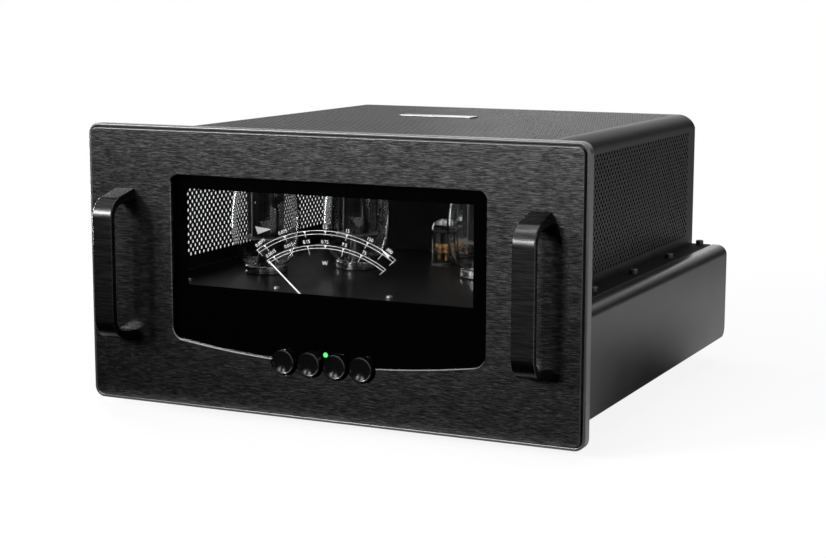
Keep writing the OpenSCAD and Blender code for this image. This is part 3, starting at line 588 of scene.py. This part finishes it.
def cage_strip(bm):
    """The bent sheet with its foot flanges, drawn from the front to the rear."""
    bend = bm.verts.new((CAGE_X - CAGE_R, CAGE_FRONT, CAGE_TOP))
    bmesh.ops.spin(bm, geom=[bend], cent=(CAGE_X - CAGE_R, CAGE_FRONT, CAGE_TOP - CAGE_R),
                   axis=(0, 1, 0), dvec=(0, 0, 0), angle=math.radians(90), steps=8)
    low = min(bm.verts, key=lambda v: v.co.z)
    inner = [bm.verts.new((x, CAGE_FRONT, CAGE_TOP)) for x in (0, FIELD_X)]
    lower = [bm.verts.new((x, CAGE_FRONT, z)) for x, z in (
        (CAGE_X, FIELD_Z_END), (CAGE_X, FIELD_Z), (CAGE_X, FLANGE_TOP), (FLANGE_X, FLANGE_TOP))]
    for pair in zip((*inner, low, *lower), (inner[1], bend, lower[0], *lower[1:])):
        bm.edges.new(pair)
    bmesh.ops.mirror(bm, geom=bm.verts[:] + bm.edges[:], axis="X", merge_dist=WELD)
    bmesh.ops.remove_doubles(bm, verts=bm.verts, dist=WELD)
    strip = list(bm.edges)
    for start, end in ((CAGE_FRONT, FIELD_Y), (FIELD_Y, FIELD_Y_END), (FIELD_Y_END, CASE_D)):
        made = bmesh.ops.extrude_edge_only(bm, edges=strip)["geom"]
        strip = lines_in(made)
        bmesh.ops.translate(bm, vec=(0, end - start, 0), verts=points_in(made))


def open_fields(bm):
    """Takes out the fields of the top and the sides that the perforated sheets fill."""
    fields = []
    for face in bm.faces:
        middle = face.calc_center_median()
        if FIELD_Y < middle.y < FIELD_Y_END:
            on_top = middle.z > CAGE_TOP - FIELD_SLACK and abs(middle.x) < FIELD_X
            on_side = abs(middle.x) > CAGE_X - FIELD_SLACK and FIELD_Z < middle.z < FIELD_Z_END
            if on_top or on_side:
                fields.append(face)
    bmesh.ops.delete(bm, geom=fields, context="FACES")


def close_rear(bm):
    """Cuts the rear bevel, closes it and the rear wall, and opens the wall's field."""
    def at_rear(part):
        return all(v.co.y > CASE_D - NEAR for v in part.verts)

    bmesh.ops.bisect_plane(bm, geom=bm.verts[:] + bm.edges[:] + bm.faces[:], dist=CUT_NEAR,
                           plane_co=(0, CASE_D - CAGE_BEVEL, CAGE_TOP), plane_no=(0, 1, 1),
                           clear_outer=True)
    slope = [e for e in bm.edges if e.is_boundary and all(
        abs(v.co.y + v.co.z - CASE_D - CAGE_TOP + CAGE_BEVEL) < NEAR for v in e.verts)]
    corners = [v for v in {v for e in slope for v in e.verts} if v.co.y > CASE_D - NEAR]
    ridge = bm.edges.new(corners)
    bmesh.ops.contextual_create(bm, geom=[*slope, ridge])
    uprights = [e for e in bm.edges if e.is_boundary and e is not ridge and at_rear(e)
                and all(abs(v.co.x) < CAGE_X + NEAR for v in e.verts)]
    feet = [v for v in {v for e in uprights for v in e.verts} if v.co.z < FLANGE_TOP + NEAR]
    base = bm.edges.new(feet)
    bmesh.ops.contextual_create(bm, geom=[*uprights, ridge, base])
    for point, normal in (((REAR_X, 0, 0), (1, 0, 0)), ((-REAR_X, 0, 0), (1, 0, 0)),
                          ((0, 0, FIELD_Z), (0, 0, 1)), ((0, 0, FIELD_Z_END), (0, 0, 1))):
        parts = {g for f in bm.faces if at_rear(f) for g in (f, *f.edges, *f.verts)}
        bmesh.ops.bisect_plane(bm, geom=list(parts), dist=CUT_NEAR, plane_co=point, plane_no=normal)
    hole = [f for f in bm.faces if at_rear(f) and all(
        abs(v.co.x) < REAR_X + FIELD_SLACK
        and FIELD_Z - FIELD_SLACK < v.co.z < FIELD_Z_END + FIELD_SLACK for v in f.verts)]
    bmesh.ops.delete(bm, geom=hole, context="FACES")


def cage_frame():
    bm = bmesh.new()
    cage_strip(bm)
    open_fields(bm)
    close_rear(bm)
    bmesh.ops.recalc_face_normals(bm, faces=bm.faces)
    if max(bm.faces, key=lambda f: f.calc_center_median().z).normal.z < 0:
        bmesh.ops.reverse_faces(bm, faces=bm.faces)
    # The foot flanges get the near-black paint: painted shade
    coat([f for f in bm.faces if f.calc_center_median().z < FLANGE_TOP + NEAR], 1)
    thing = solid_sheet(piece("cage_frame", bm, FINISH["cage_paint"], "cage_cover"))
    thing.data.materials.append(SHADE_BLACK)
    thing.modifiers["thickness"].material_offset_rim = -1
    thing.modifiers.new("even_shading", "WEIGHTED_NORMAL").keep_sharp = True
    return thing


def perforated(name, corner, across, up, count_across, count_up):
    """A flat sheet of staggered holes, repeated from one cell of two holes."""
    half = HOLE_CELL / 2
    bm = bmesh.new()
    for column, row in ((0, 0), (1, 1)):
        square = bmesh.ops.create_grid(bm, x_segments=1, y_segments=1, size=half / 2)["verts"]
        edges = list({e for v in square for e in v.link_edges})
        bmesh.ops.delete(bm, geom=list({f for v in square for f in v.link_faces}), context="FACES_ONLY")
        ring = bmesh.ops.create_circle(bm, cap_ends=False, segments=HOLE_SIDES, radius=HOLE_R)["verts"]
        bmesh.ops.rotate(bm, cent=(0, 0, 0), verts=ring,
                         matrix=Matrix.Rotation(math.pi / HOLE_SIDES, 3, "Z"))
        edges += list({e for v in ring for e in v.link_edges})
        bmesh.ops.bridge_loops(bm, edges=edges)
        bmesh.ops.translate(bm, vec=(column * half, row * half, 0), verts=square + ring)
    for column, row in ((1, 0), (0, 1)):
        square = bmesh.ops.create_grid(bm, x_segments=1, y_segments=1, size=half / 2)["verts"]
        bmesh.ops.translate(bm, vec=(column * half, row * half, 0), verts=square)
    bmesh.ops.translate(bm, vec=(half / 2, half / 2, 0), verts=bm.verts)
    bmesh.ops.remove_doubles(bm, verts=bm.verts, dist=WELD)
    bmesh.ops.recalc_face_normals(bm, faces=bm.faces)
    if next(iter(bm.faces)).normal.z < 0:
        bmesh.ops.reverse_faces(bm, faces=bm.faces)
    turn = Matrix((across, up, across.cross(up))).transposed().to_4x4()
    bm.transform(at(*corner) @ turn)
    thing = piece(name, bm, FINISH["cage_paint"], slot="cage_paint")
    thing.data.shade_flat()
    for label, way, count in (("columns", across, count_across), ("rows", up, count_up)):
        array = thing.modifiers.new(label, "ARRAY")
        array.count = count
        array.use_relative_offset = False
        array.use_constant_offset = True
        array.constant_offset_displace = way * HOLE_CELL * MM
        array.use_merge_vertices = True
        array.merge_threshold = NEAR * MM
    # The hole walls get the near-black paint: painted shade in the holes
    thing.data.materials.append(SHADE_BLACK)
    solid_sheet(thing, MESH_T).modifiers["thickness"].material_offset_rim = 1
    return thing


# Push buttons: dished caps with a bright lip, a rounded rim, a collar and a stem

BUTTON_R = 10.8
BUTTON_PROUD = 2.5
DISH_DEPTH = 1.2
DISH_R = 9.4
BUTTON_EASE = 0.6
DISH_RINGS = 36
RING_H = 0.03
LIP_W = 0.7
LIP_H = 0.36
COLLAR_R = BUTTON_R + 0.9
COLLAR_FRONT = -8.6
COLLAR_REAR = -10.6
STEM_R = 3
STEM_END = -18.7


def push_button(number, x):
    sphere_r = (DISH_R ** 2 + DISH_DEPTH ** 2) / (2 * DISH_DEPTH)
    crown = BUTTON_PROUD + LIP_H
    radii = [DISH_R * i / DISH_RINGS for i in range(DISH_RINGS + 1)]
    dish = [(r, BUTTON_PROUD - DISH_DEPTH + sphere_r - math.sqrt(sphere_r ** 2 - r ** 2)
             + RING_H * (i % 2)) for i, r in enumerate(radii)]
    dish.append((DISH_R + LIP_W, crown))
    rim = arc_points((BUTTON_R - BUTTON_EASE, crown - BUTTON_EASE), BUTTON_EASE, 90, 0, 14)
    back = [(BUTTON_R, COLLAR_FRONT), (COLLAR_R, COLLAR_FRONT), (COLLAR_R, COLLAR_REAR),
            (STEM_R, COLLAR_REAR), (STEM_R, STEM_END), (0, STEM_END)]
    bm = turned(dish + rim + back, 64, turn=at(x, 0, BUTTON_Z) @ FORWARD)
    for face in bm.faces:
        middle = face.calc_center_median() - Vector((x, 0, BUTTON_Z))
        if -crown < middle.y < -BUTTON_PROUD and middle.xz.length < DISH_R + LIP_W:
            face.material_index = 1
    thing = piece(f"button_cap_{number}", bm, FINISH["button_gloss"], f"push_button_{number}",
                  body=f"button_{number}", sharp=9)
    thing.data.materials.append(LIP_METAL)
    return thing


# Meter print on the rear face of the clear panel, white with a faint painted glow

PRINT_Y = PANEL_REAR + 0.02
PRINT_T = 0.04
LINE_W = 0.34
FLAG_W = 2.6
FLAG_L = 2.6
FIGURE_H = 4.2
UNIT_H = 5.0
UNIT_AT = (0, 140.2)
ZONE = ((54.5, 155.4), (62.5, 151.0), (60.5, 148.7))

# Arcs: middle, radius and half angle. Ticks: outer end and length. Figures: middle and tilt
ARCS = (((0, 49), 119.6, 34.6), ((0, 49), 116.6, 34.6),
        ((0.3, 49), 106.9, 32.9), ((0.3, 49), 104.3, 32.9))
OUTER_TICKS = (
    ((-67.5, 147.7), 7.5), ((-60, 152.3), 6.5), ((-40, 161.6), 6.0), ((-20, 166.9), 5.5),
    ((0.5, 168.5), 3.5), ((21.5, 166.6), 5.5), ((41.5, 161.1), 6.0), ((57, 154.0), 9.0),
    ((67.5, 147.7), 7.5))
INNER_TICKS = (
    ((-57.7, 138.8), 6.5), ((-51, 143.0), 6.5), ((-34.5, 150.2), 6.5), ((-17, 154.6), 8.0),
    ((0.5, 155.8), 3.0), ((18, 154.5), 7.5), ((35.5, 149.8), 7.0), ((58.2, 138.9), 7.5))
FIGURES = (
    ("0.0075", (-64, 154.2), 36), ("0.075", (-41.5, 165), 21), ("1.5", (0, 171.4), 0),
    ("15", (22, 169.8), -11), ("150", (43.5, 163.6), -21), ("300", (62, 155.0), -34),
    ("0.0015", (-53.5, 145.4), 34), ("0.015", (-35.5, 153.6), 21), ("0.15", (-18, 157.9), 10),
    ("0.75", (0, 158.8), 0), ("7.5", (19, 157.4), -11), ("75", (38, 151.8), -20))


def print_line(bm, start, end):
    """A thin printed line between two points of x and z."""
    start, end = Vector((start[0], 0, start[1])), Vector((end[0], 0, end[1]))
    way = end - start
    line = bmesh.ops.create_grid(bm, x_segments=1, y_segments=1, size=0.5)["verts"]
    bmesh.ops.scale(bm, vec=(way.length, LINE_W, 1), verts=line)
    tilt = Matrix.Rotation(-math.atan2(way.z, way.x), 4, "Y")
    middle = (start + end) / 2
    bmesh.ops.transform(bm, matrix=at(middle.x, PRINT_Y, middle.z) @ tilt @ FORWARD, verts=line)


def print_area(bm, *points):
    """A printed patch with corners given as x and z."""
    bm.faces.new([bm.verts.new((x, PRINT_Y, z)) for x, z in points])


def print_flag(bm, x, z):
    """A small mark that hangs from a scale's outer line and points to the needle's pivot."""
    tip = toward_pivot(x, z, FLAG_L)
    side = Vector((z - tip[1], tip[0] - x)).normalized() * FLAG_W / 2
    print_area(bm, (x + side.x, z + side.y), tip, (x - side.x, z - side.y))


def print_arc(bm, centre, radius, half_angle):
    """A thin printed arc, upright about its middle."""
    pivot = (centre[0], PRINT_Y, centre[1])
    ends = [bm.verts.new((centre[0], PRINT_Y, centre[1] + radius + side * LINE_W / 2))
            for side in (-1, 1)]
    edge = bm.edges.new(ends)
    bmesh.ops.rotate(bm, cent=pivot, verts=ends,
                     matrix=Matrix.Rotation(math.radians(-half_angle), 3, "Y"))
    bmesh.ops.spin(bm, geom=[*ends, edge], cent=pivot, axis=(0, 1, 0), dvec=(0, 0, 0),
                   angle=math.radians(2 * half_angle), steps=40)


def print_words(bm, words, height, place, tilt=0.0):
    """Small printed figures, centred on a point and turned anticlockwise by tilt degrees."""
    letters = bpy.data.curves.new("figures", "FONT")
    letters.body = words
    letters.size = height
    letters.align_x = "CENTER"
    letters.align_y = "CENTER"
    letters.resolution_u = 3
    holder = bpy.data.objects.new("figures", letters)
    scene.collection.objects.link(holder)
    bpy.context.view_layer.update()
    mesh = bpy.data.meshes.new_from_object(holder.evaluated_get(bpy.context.evaluated_depsgraph_get()))
    mesh.transform(at(place[0], PRINT_Y, place[1])
                   @ Matrix.Rotation(math.radians(-tilt), 4, "Y") @ FORWARD)
    bm.from_mesh(mesh)
    bpy.data.objects.remove(holder)
    bpy.data.curves.remove(letters)
    bpy.data.meshes.remove(mesh)


def toward_pivot(x, z, length):
    """The end of a tick of some length that starts at a point and points to the needle's pivot."""
    way = Vector((-x, PIVOT_Z - z)).normalized()
    return x + way.x * length, z + way.y * length


def meter_print():
    bm = bmesh.new()
    for centre, radius, half_angle in ARCS:
        print_arc(bm, centre, radius, half_angle)
    for (x, z), length in OUTER_TICKS + INNER_TICKS:
        print_line(bm, (x, z), toward_pivot(x, z, length))
    for (x, z), _ in OUTER_TICKS[1:-2] + INNER_TICKS[1:-1]:
        print_flag(bm, x, z)
    print_area(bm, *ZONE)
    for words, place, tilt in FIGURES:
        print_words(bm, words, FIGURE_H, place, tilt)
    print_words(bm, "W", UNIT_H, UNIT_AT)
    bmesh.ops.recalc_face_normals(bm, faces=bm.faces)
    for face in bm.faces:
        if face.normal.y > 0:
            face.normal_flip()
    thing = piece("meter_print", bm, GLOWING_PRINT, slot="needle_white")
    return solid_sheet(thing, PRINT_T)


# Valves: blown glass, chrome bases and the plates inside, with a small white wedge in valve 1 that
# glows, a painted glint

BULB_R = 33.0
BULB_MID = 48.0
BULB_TOP = 124.0
NECK_R = 17.0
SHOULDER = 1.25
BASE_R = 20.5
BASE_H = 8.5
GLASS_T = 1.2


def power_glass(number, x, y):
    lower = [(NECK_R + (BULB_R - NECK_R) * math.sin(math.radians(a)),
              BASE_H + (BULB_MID - BASE_H) * (1 - math.cos(math.radians(a)))) for a in range(0, 90, 6)]
    upper = [(BULB_R * math.cos(math.radians(a)) ** SHOULDER,
              BULB_MID + (BULB_TOP - BULB_MID) * math.sin(math.radians(a))) for a in range(0, 88, 5)]
    profile = [(0, BASE_H), *lower, *upper, (0, BULB_TOP)]
    bm = turned(profile, 64, turn=at(x, y, DECK_Z))
    return solid_sheet(piece(f"power_valve_{number}_glass", bm, FINISH["tube_glass"],
                             f"power_tube_{number}_glass", sharp=60), GLASS_T)


def power_base(number, x, y):
    profile = [(0, 0.8), (BASE_R - 0.6, 0.8), (BASE_R, 1.4), (BASE_R, 2.6), (BASE_R - 0.5, 3.0),
               (BASE_R - 0.5, 3.6), (BASE_R, 4.0), (BASE_R, 7.2),
               *arc_points((BASE_R - 1.3, 7.2), 1.3, 0, 90, 5)[1:], (0, BASE_H)]
    bm = turned(profile, 56, turn=at(x, y, DECK_Z))
    return piece(f"power_valve_{number}_base", bm, FINISH["tube_chrome"], f"power_tube_{number}_base")


def rounded_box(into, middle, half, low, high, ease, segments=3):
    """A block with rounded upright edges, from its middle, half widths and heights over the deck."""
    bm = bmesh.new()
    cube = bmesh.ops.create_cube(bm, size=1.0)["verts"]
    bmesh.ops.scale(bm, vec=(2 * half[0], 2 * half[1], high - low), verts=cube)
    bmesh.ops.translate(bm, vec=(*middle, DECK_Z + (low + high) / 2), verts=cube)
    uprights = [e for e in bm.edges if abs(e.verts[0].co.z - e.verts[1].co.z) > NEAR]
    round_off(bm, uprights, ease, segments)
    add_to(into, bm)


def rod(into, r, low, high, x, y, steps=12):
    """An upright round bar or disc, with heights over the deck."""
    turned([(0, low), (r, low), (r, high), (0, high)], steps, into=into, turn=at(x, y, DECK_Z))


STEM = ((0, 9.8), (9, 9.8), (8, 16), (5.5, 30), (0, 31))
MICA_R = 20.4
MICA_T = 1.2
MICA_LEVELS = (34.0, 81.5)
GETTER_RING = ((7.4, 94), (8.2, 94.6), (8.2, 95.4), (7.4, 96), (6.6, 95.4), (6.6, 94.6), (7.4, 94))
# Outline, set-forward and thickness of the wedge in valve 1 that glows white: a painted glint
GLINT_OUTLINE = ((-2.0, 38.5), (12.0, 44.0), (-5.0, 45.8))
GLINT_AHEAD = 11.9
GLINT_T = 0.5


def power_plates():
    metal, mica, glint_mesh = bmesh.new(), bmesh.new(), bmesh.new()
    for x, y in POWER_AT:
        turned(STEM, 24, into=metal, turn=at(x, y, DECK_Z))
        for level in MICA_LEVELS:
            rod(mica, MICA_R, level, level + MICA_T, x, y, 32)
        rounded_box(metal, (x, y), (13, 10), 35.6, 81, 7, 4)
        for side in (-1, 1):
            rounded_box(metal, (x + side * 16, y), (4, 0.6), 37, 80, 0.4)
            rounded_box(metal, (x, y + side * 10.6), (3, 0.7), 36, 80, 0.4)
            rod(metal, 1.1, 20, 88, x + side * 6, y)
            rod(metal, 0.8, 12, 35, x + side * 3, y + 3)
        turned(GETTER_RING, 32, into=metal, turn=at(x, y, DECK_Z))
        rod(metal, 0.5, 82, 95, x + 7.4, y)
    piece("power_valve_plates", metal, FINISH["tube_plate"], "power_tube_plates")
    piece("power_valve_mica", mica, MICA, slot="tube_plate")
    # Valve 1 gets a small flat wedge that glows white: a painted glint in place of a reflection in its
    # glass
    x, y = POWER_AT[0]
    glint_face = glint_mesh.faces.new([glint_mesh.verts.new((x + dx, y - GLINT_AHEAD, DECK_Z + dz)) for dx, dz in GLINT_OUTLINE])
    made = bmesh.ops.extrude_face_region(glint_mesh, geom=[glint_face], use_keep_orig=True)["geom"]
    bmesh.ops.translate(glint_mesh, vec=(0, GLINT_T, 0), verts=points_in(made))
    bmesh.ops.recalc_face_normals(glint_mesh, faces=glint_mesh.faces)
    piece("power_valve_1_painted_glint", glint_mesh, GLINT_GLOW, slot="tube_plate")


DRIVER_R = 12.0
DRIVER_H = 47.0
DRIVER_MICA_R = 9.8
DRIVER_MICA_T = 0.8
DRIVER_MICA_LEVELS = (11.6, 32.4)
GETTER_GAP = 0.15


def driver_glass(number, x, y):
    dome = arc_points((0, DRIVER_H - DRIVER_R), DRIVER_R, 0, 84, 8)
    profile = [(0, 3.0), (DRIVER_R - 1.5, 3.0), (DRIVER_R, 4.5), *dome,
               (0.6, DRIVER_H - 0.4), (0, DRIVER_H)]
    bm = turned(profile, 48, turn=at(x, y, DECK_Z))
    return solid_sheet(piece(f"driver_valve_{number}_glass", bm, FINISH["tube_glass"],
                             f"driver_tube_{number}", sharp=60), GLASS_T)


def driver_plates():
    metal, glow, mirror = bmesh.new(), bmesh.new(), bmesh.new()
    dome = arc_points((0, DRIVER_H - DRIVER_R), DRIVER_R - GLASS_T - GETTER_GAP, 28, 84, 6)
    for x, y in DRIVER_AT:
        for level in DRIVER_MICA_LEVELS:
            rod(metal, DRIVER_MICA_R, level, level + DRIVER_MICA_T, x, y, 28)
        for side in (-1, 1):
            rounded_box(metal, (x + side * 4, y), (3.2, 3.6), 21, 32.4, 1.2)
            rounded_box(glow, (x + side * 4, y), (3.4, 3.8), 12.4, 21, 1.2)
            rod(glow, 2.0, 4.4, 11.6, x + side * 4.2, y)
        turned([*dome, (0.2, dome[-1][1])], 40, into=mirror, turn=at(x, y, DECK_Z))
    piece("driver_valve_plates", metal, FINISH["tube_plate"], "driver_tube_plates")
    piece("driver_valve_heaters", glow, HEATER, slot="tube_plate")
    piece("driver_valve_getters", mirror, GETTER, slot="tube_plate")


# Needle and fasteners

NEEDLE_REST = 49.0
TIP_SHARE = 0.5
TIP_FROM = 60
HEAD_EASE = 0.22
RECESS_DEPTH = 0.55
MOUTH_SIZE = 1.12
CAGE_SCREWS = [(x, y) for x in (-202.8, 202.8) for y in (124, 236, 347, 454)]
DECK_SCREWS = [(-76, 56), (38, 56), (-172, 60), (172, 60), (-172, 300), (172, 300)]


def needle():
    """The needle's own shape, with its blade drawn in to a fine tip."""
    bm = copy_of("meter_needle")
    upright = (at(0, 0, PIVOT_Z) @ Matrix.Rotation(math.radians(-NEEDLE_REST), 4, "Y")
               @ at(0, 0, -PIVOT_Z))
    bm.transform(upright.inverted())
    for vert in bm.verts:
        if vert.co.z > PIVOT_Z + TIP_FROM:
            vert.co.x *= TIP_SHARE
    bm.transform(upright)
    # The needle's paint glows a little: a painted glow
    return piece("meter_pointer", bm, FINISH["needle_white"], "meter_needle", body="needle")


def hex_screws(name, node, places, head_r, head_h, low, shank_r, shank_low, hex_r):
    """Round-headed screws with a six-sided recess, set upright."""
    whole = bmesh.new()
    for x, y in places:
        bm = bmesh.new()
        ease = head_h * HEAD_EASE
        rim = arc_points((head_r - ease, low + head_h - ease), ease, 0, 90, 4)
        turned([(0, shank_low), (shank_r, shank_low), (shank_r, low), (head_r, low), *rim,
                (hex_r * MOUTH_SIZE, low + head_h)], 24, into=bm)
        mouth = [e for e in bm.edges if e.is_boundary]
        floor = bmesh.ops.create_circle(bm, cap_ends=False, segments=6, radius=hex_r)["verts"]
        bmesh.ops.translate(bm, vec=(0, 0, low + head_h), verts=floor)
        ring = list({e for v in floor for e in v.link_edges})
        bmesh.ops.bridge_loops(bm, edges=mouth + ring)
        made = bmesh.ops.extrude_edge_only(bm, edges=ring)["geom"]
        bmesh.ops.translate(bm, vec=(0, 0, -head_h * RECESS_DEPTH), verts=points_in(made))
        bmesh.ops.contextual_create(bm, geom=lines_in(made))
        bmesh.ops.recalc_face_normals(bm, faces=bm.faces)
        bm.transform(at(x, y, 0))
        add_to(whole, bm)
    return piece(name, whole, FINISH[slot_of[node]], node)


# Camera at the photograph's place

CAMERA_AT = (0.7185, -1.5627, 0.3788)
CAMERA_YAW = 25.25
CAMERA_PITCH = 9.12
CAMERA_ROLL = 0.14
CAMERA_LENS = 77.75


def make_camera():
    lens = bpy.data.cameras.new("camera")
    lens.sensor_fit = "HORIZONTAL"
    lens.sensor_width = 36.0
    lens.lens = CAMERA_LENS
    lens.clip_start = 0.05
    lens.clip_end = 50.0
    camera = bpy.data.objects.new("camera", lens)
    aim = Euler((math.radians(90 - CAMERA_PITCH), 0, math.radians(CAMERA_YAW))).to_matrix()
    camera.matrix_world = (Matrix.Translation(CAMERA_AT) @ aim.to_4x4()
                           @ Matrix.Rotation(math.radians(CAMERA_ROLL), 4, "Z"))
    scene.collection.objects.link(camera)
    scene.camera = camera


# Studio: pale floor, white surroundings, soft lamps and dark cards for the metal to mirror

FLOOR_SIZE = 12.0
WORLD_DIM = 0.32
CARD_SHADE = 0.003
CARD_Z = 0.004

# Floor cards follow the slant at which the right-hand side mirrors the floor; the rail and cage cards
# stand for the object's shade on the floor there, painted shade that only mirrors show
MIRROR_SLANT = 2.8

# Lamps: place, aim, size and power
LAMPS = (
    ("key_lamp", (-0.5, -0.8, 2.3), (0, -0.1, 0.1), (0.9, 0.9), 12),
    ("front_lamp", (-1.8, -2.45, 1.2), (0, -0.1, 0.1), (1.1, 0.7), 140),
    ("fill_lamp", (-0.6, -2.9, 0.95), (0.1, -0.1, 0.1), (0.5, 0.5), 42),
    ("top_lamp", (0.1, 0.4, 1.9), (0, 0.05, 0.1), (1.6, 1.2), 12),
    ("rim_lamp", (-0.5, 2.3, 0.6), (0, 0, 0.15), (1.0, 0.4), 1.8),
    ("left_lamp", (-1.0, 0.4, 0.27), (0, 0, 0.2), (0.25, 0.52), 12),
    ("right_lamp", (2.2, -1.0, 0.9), (0.1, 0, 0.1), (0.8, 1.2), 8))


def seen(wire):
    """1 for rays that show the background: from the camera, off metal and through glass."""
    shown = wire.make("LightPath", out="Is Camera Ray")
    for kind in ("Is Glossy Ray", "Is Transmission Ray"):
        shown = wire.math("MAXIMUM", shown, wire.make("LightPath", out=kind))
    return shown


def floor_paint(wire):
    """White paper that shows the object's shadow close by and fades to plain white around it."""
    place = wire.make("TexCoord", out="Object")
    reach = wire.make("VectorMath", {"operation": "LENGTH"}, {0: place}, out="Value")
    far = reach.ramp((0.35, 0.88), (1.0, 1.0))
    matt = wire.make("BsdfDiffuse", values={"Color": tone(0.82)})
    white = wire.make("Emission", values={"Color": tone(1.0), "Strength": 1.0})
    return wire.make("MixShader", values={0: seen(wire) * far, 1: matt, 2: white})


def card_paint(wire):
    return wire.make("BsdfDiffuse", values={"Color": tone(CARD_SHADE)})


def flat_stage(name, material, width, length, place):
    """A flat rectangle of the studio, set in place by its mesh."""
    bm = bmesh.new()
    sheet = bmesh.ops.create_grid(bm, x_segments=1, y_segments=1, size=0.5)["verts"]
    bmesh.ops.scale(bm, vec=(width, length, 1), verts=sheet)
    bm.transform(place)
    mesh = bpy.data.meshes.new(name)
    bm.to_mesh(mesh)
    bm.free()
    mesh.materials.append(material)
    thing = bpy.data.objects.new(name, mesh)
    scene.collection.objects.link(thing)
    return thing


def lamp(name, place, aim, size, power):
    light = bpy.data.lights.new(name, "AREA")
    light.shape = "RECTANGLE"
    light.size, light.size_y = size
    light.energy = power
    thing = bpy.data.objects.new(name, light)
    thing.location = place
    thing.rotation_euler = (Vector(aim) - Vector(place)).to_track_quat("-Z", "Y").to_euler()
    scene.collection.objects.link(thing)
    return thing


def make_world():
    """White where it is seen, dimmer where it lights."""
    world = bpy.data.worlds.new("studio")
    world.use_nodes = True
    world.node_tree.nodes.clear()
    wire = Wire(world.node_tree)
    dim = wire.make("Background", values={"Color": tone(1.0), "Strength": WORLD_DIM})
    white = wire.make("Background", values={"Color": tone(1.0), "Strength": 1.0})
    mixed = wire.make("MixShader", values={0: seen(wire), 1: dim, 2: white})
    wire.make("OutputWorld", values={"Surface": mixed})
    scene.world = world


def make_cards():
    """Dark cards that only mirrors show, the rail and cage cards standing for the object's shade on the
    floor beside its right side, and a flag that also shades the plate's lower left.
    """
    black = finish("card_black", card_paint)
    slant = Matrix.Identity(4)
    slant[1][0] = MIRROR_SLANT
    for name, width, length, place, shades in (
            ("front_card", 4.3, 3.75, at(-1.8, -2.125, CARD_Z), False),
            ("front_wall", 9.0, 4.0, at(-1.0, -3.9, 2.0) @ FORWARD, False),
            ("rail_card", 0.13, 0.3, at(0.305, 0.17, CARD_Z) @ slant, False),
            ("cage_card", 0.9, 1.6, at(0.85, 2.5, CARD_Z) @ slant, False),
            ("side_wall", 3.0, 1.6, at(2.1, 4.2, 0.8) @ FORWARD, False),
            ("low_left_flag", 0.62, 0.45, at(-0.94, -1.0, 0.275) @ FORWARD, True)):
        card = flat_stage(name, black, width, length, place)
        card.visible_camera = False
        card.visible_diffuse = False
        card.visible_shadow = shades


def make_studio():
    make_world()
    flat_stage("floor", finish("floor_paint", floor_paint), FLOOR_SIZE, FLOOR_SIZE, Matrix.Identity(4))
    make_cards()
    for row in LAMPS:
        lamp(*row)


# Building the amplifier

make_camera()
faceplate()
handle("left", -HANDLE_X)
handle("right", HANDLE_X)
cage_frame()
right, rear, up = Vector((1, 0, 0)), Vector((0, 1, 0)), Vector((0, 0, 1))
half_cells = FIELD_CELLS_X // 2
perforated("cage_top_left", (-FIELD_X, FIELD_Y, CAGE_TOP), right, rear, half_cells, FIELD_CELLS_Y)
perforated("cage_top_right", (0, FIELD_Y, CAGE_TOP), right, rear, half_cells, FIELD_CELLS_Y)
perforated("cage_side_right", (CAGE_X, FIELD_Y, FIELD_Z), rear, up, FIELD_CELLS_Y, FIELD_CELLS_Z)
perforated("cage_side_left", (-CAGE_X, FIELD_Y_END, FIELD_Z), -rear, up, FIELD_CELLS_Y, FIELD_CELLS_Z)
perforated("cage_rear", (REAR_X, CASE_D, FIELD_Z), -right, up, REAR_CELLS_X, FIELD_CELLS_Z)
for number, x in enumerate(BUTTON_X, 1):
    push_button(number, x)
meter_print()
for number, (x, y) in enumerate(POWER_AT, 1):
    power_glass(number, x, y)
    power_base(number, x, y)
power_plates()
for number, (x, y) in enumerate(DRIVER_AT, 1):
    driver_glass(number, x, y)
driver_plates()
needle()
hex_screws("cage_cap_screws", "cage_screws", CAGE_SCREWS, head_r=3.9, head_h=4.6, low=FLANGE_TOP,
           shank_r=2.0, shank_low=105.0, hex_r=1.9)
hex_screws("deck_cap_screws", "deck_screws", DECK_SCREWS, head_r=2.8, head_h=1.8, low=DECK_Z,
           shank_r=2.0, shank_low=103.0, hex_r=1.3)
for name, node, width, segments in (
        ("rail_left", "side_rail_left", 0.5, 2), ("rail_right", "side_rail_right", 0.5, 2),
        ("can_left", "output_transformer", 2.0, 3), ("can_right", "power_transformer", 2.0, 3),
        ("badge_strip", "top_badge", 0.3, 2), ("rear_plate", "rear_panel", 0.3, 2),
        ("floor_pan", "bottom_pan", 0.3, 2), ("mains_inlet", "ac_inlet", 0.3, 2),
        ("fuse_body", "fuse_holder", 0.4, 2), ("signal_socket", "balanced_input", 0.4, 2),
        ("terminals", "binding_posts", 0.4, 2), ("foot_pads", "feet", 1.2, 3),
        ("valve_sockets", "tube_sockets", 0.4, 2)):
    eased(name, node, width, segments)
eased("fuse_top", "fuse_cap", 0.4, 2, body="fuse_knob")
for number in range(1, 5):
    eased(f"terminal_nut_{number}", f"post_nut_{number}", 0.5, 2, body=f"nut_{number}")
for node in nodes:
    if node not in stood_for:
        dress(node)
make_studio()

scene.view_settings.view_transform = "Standard"
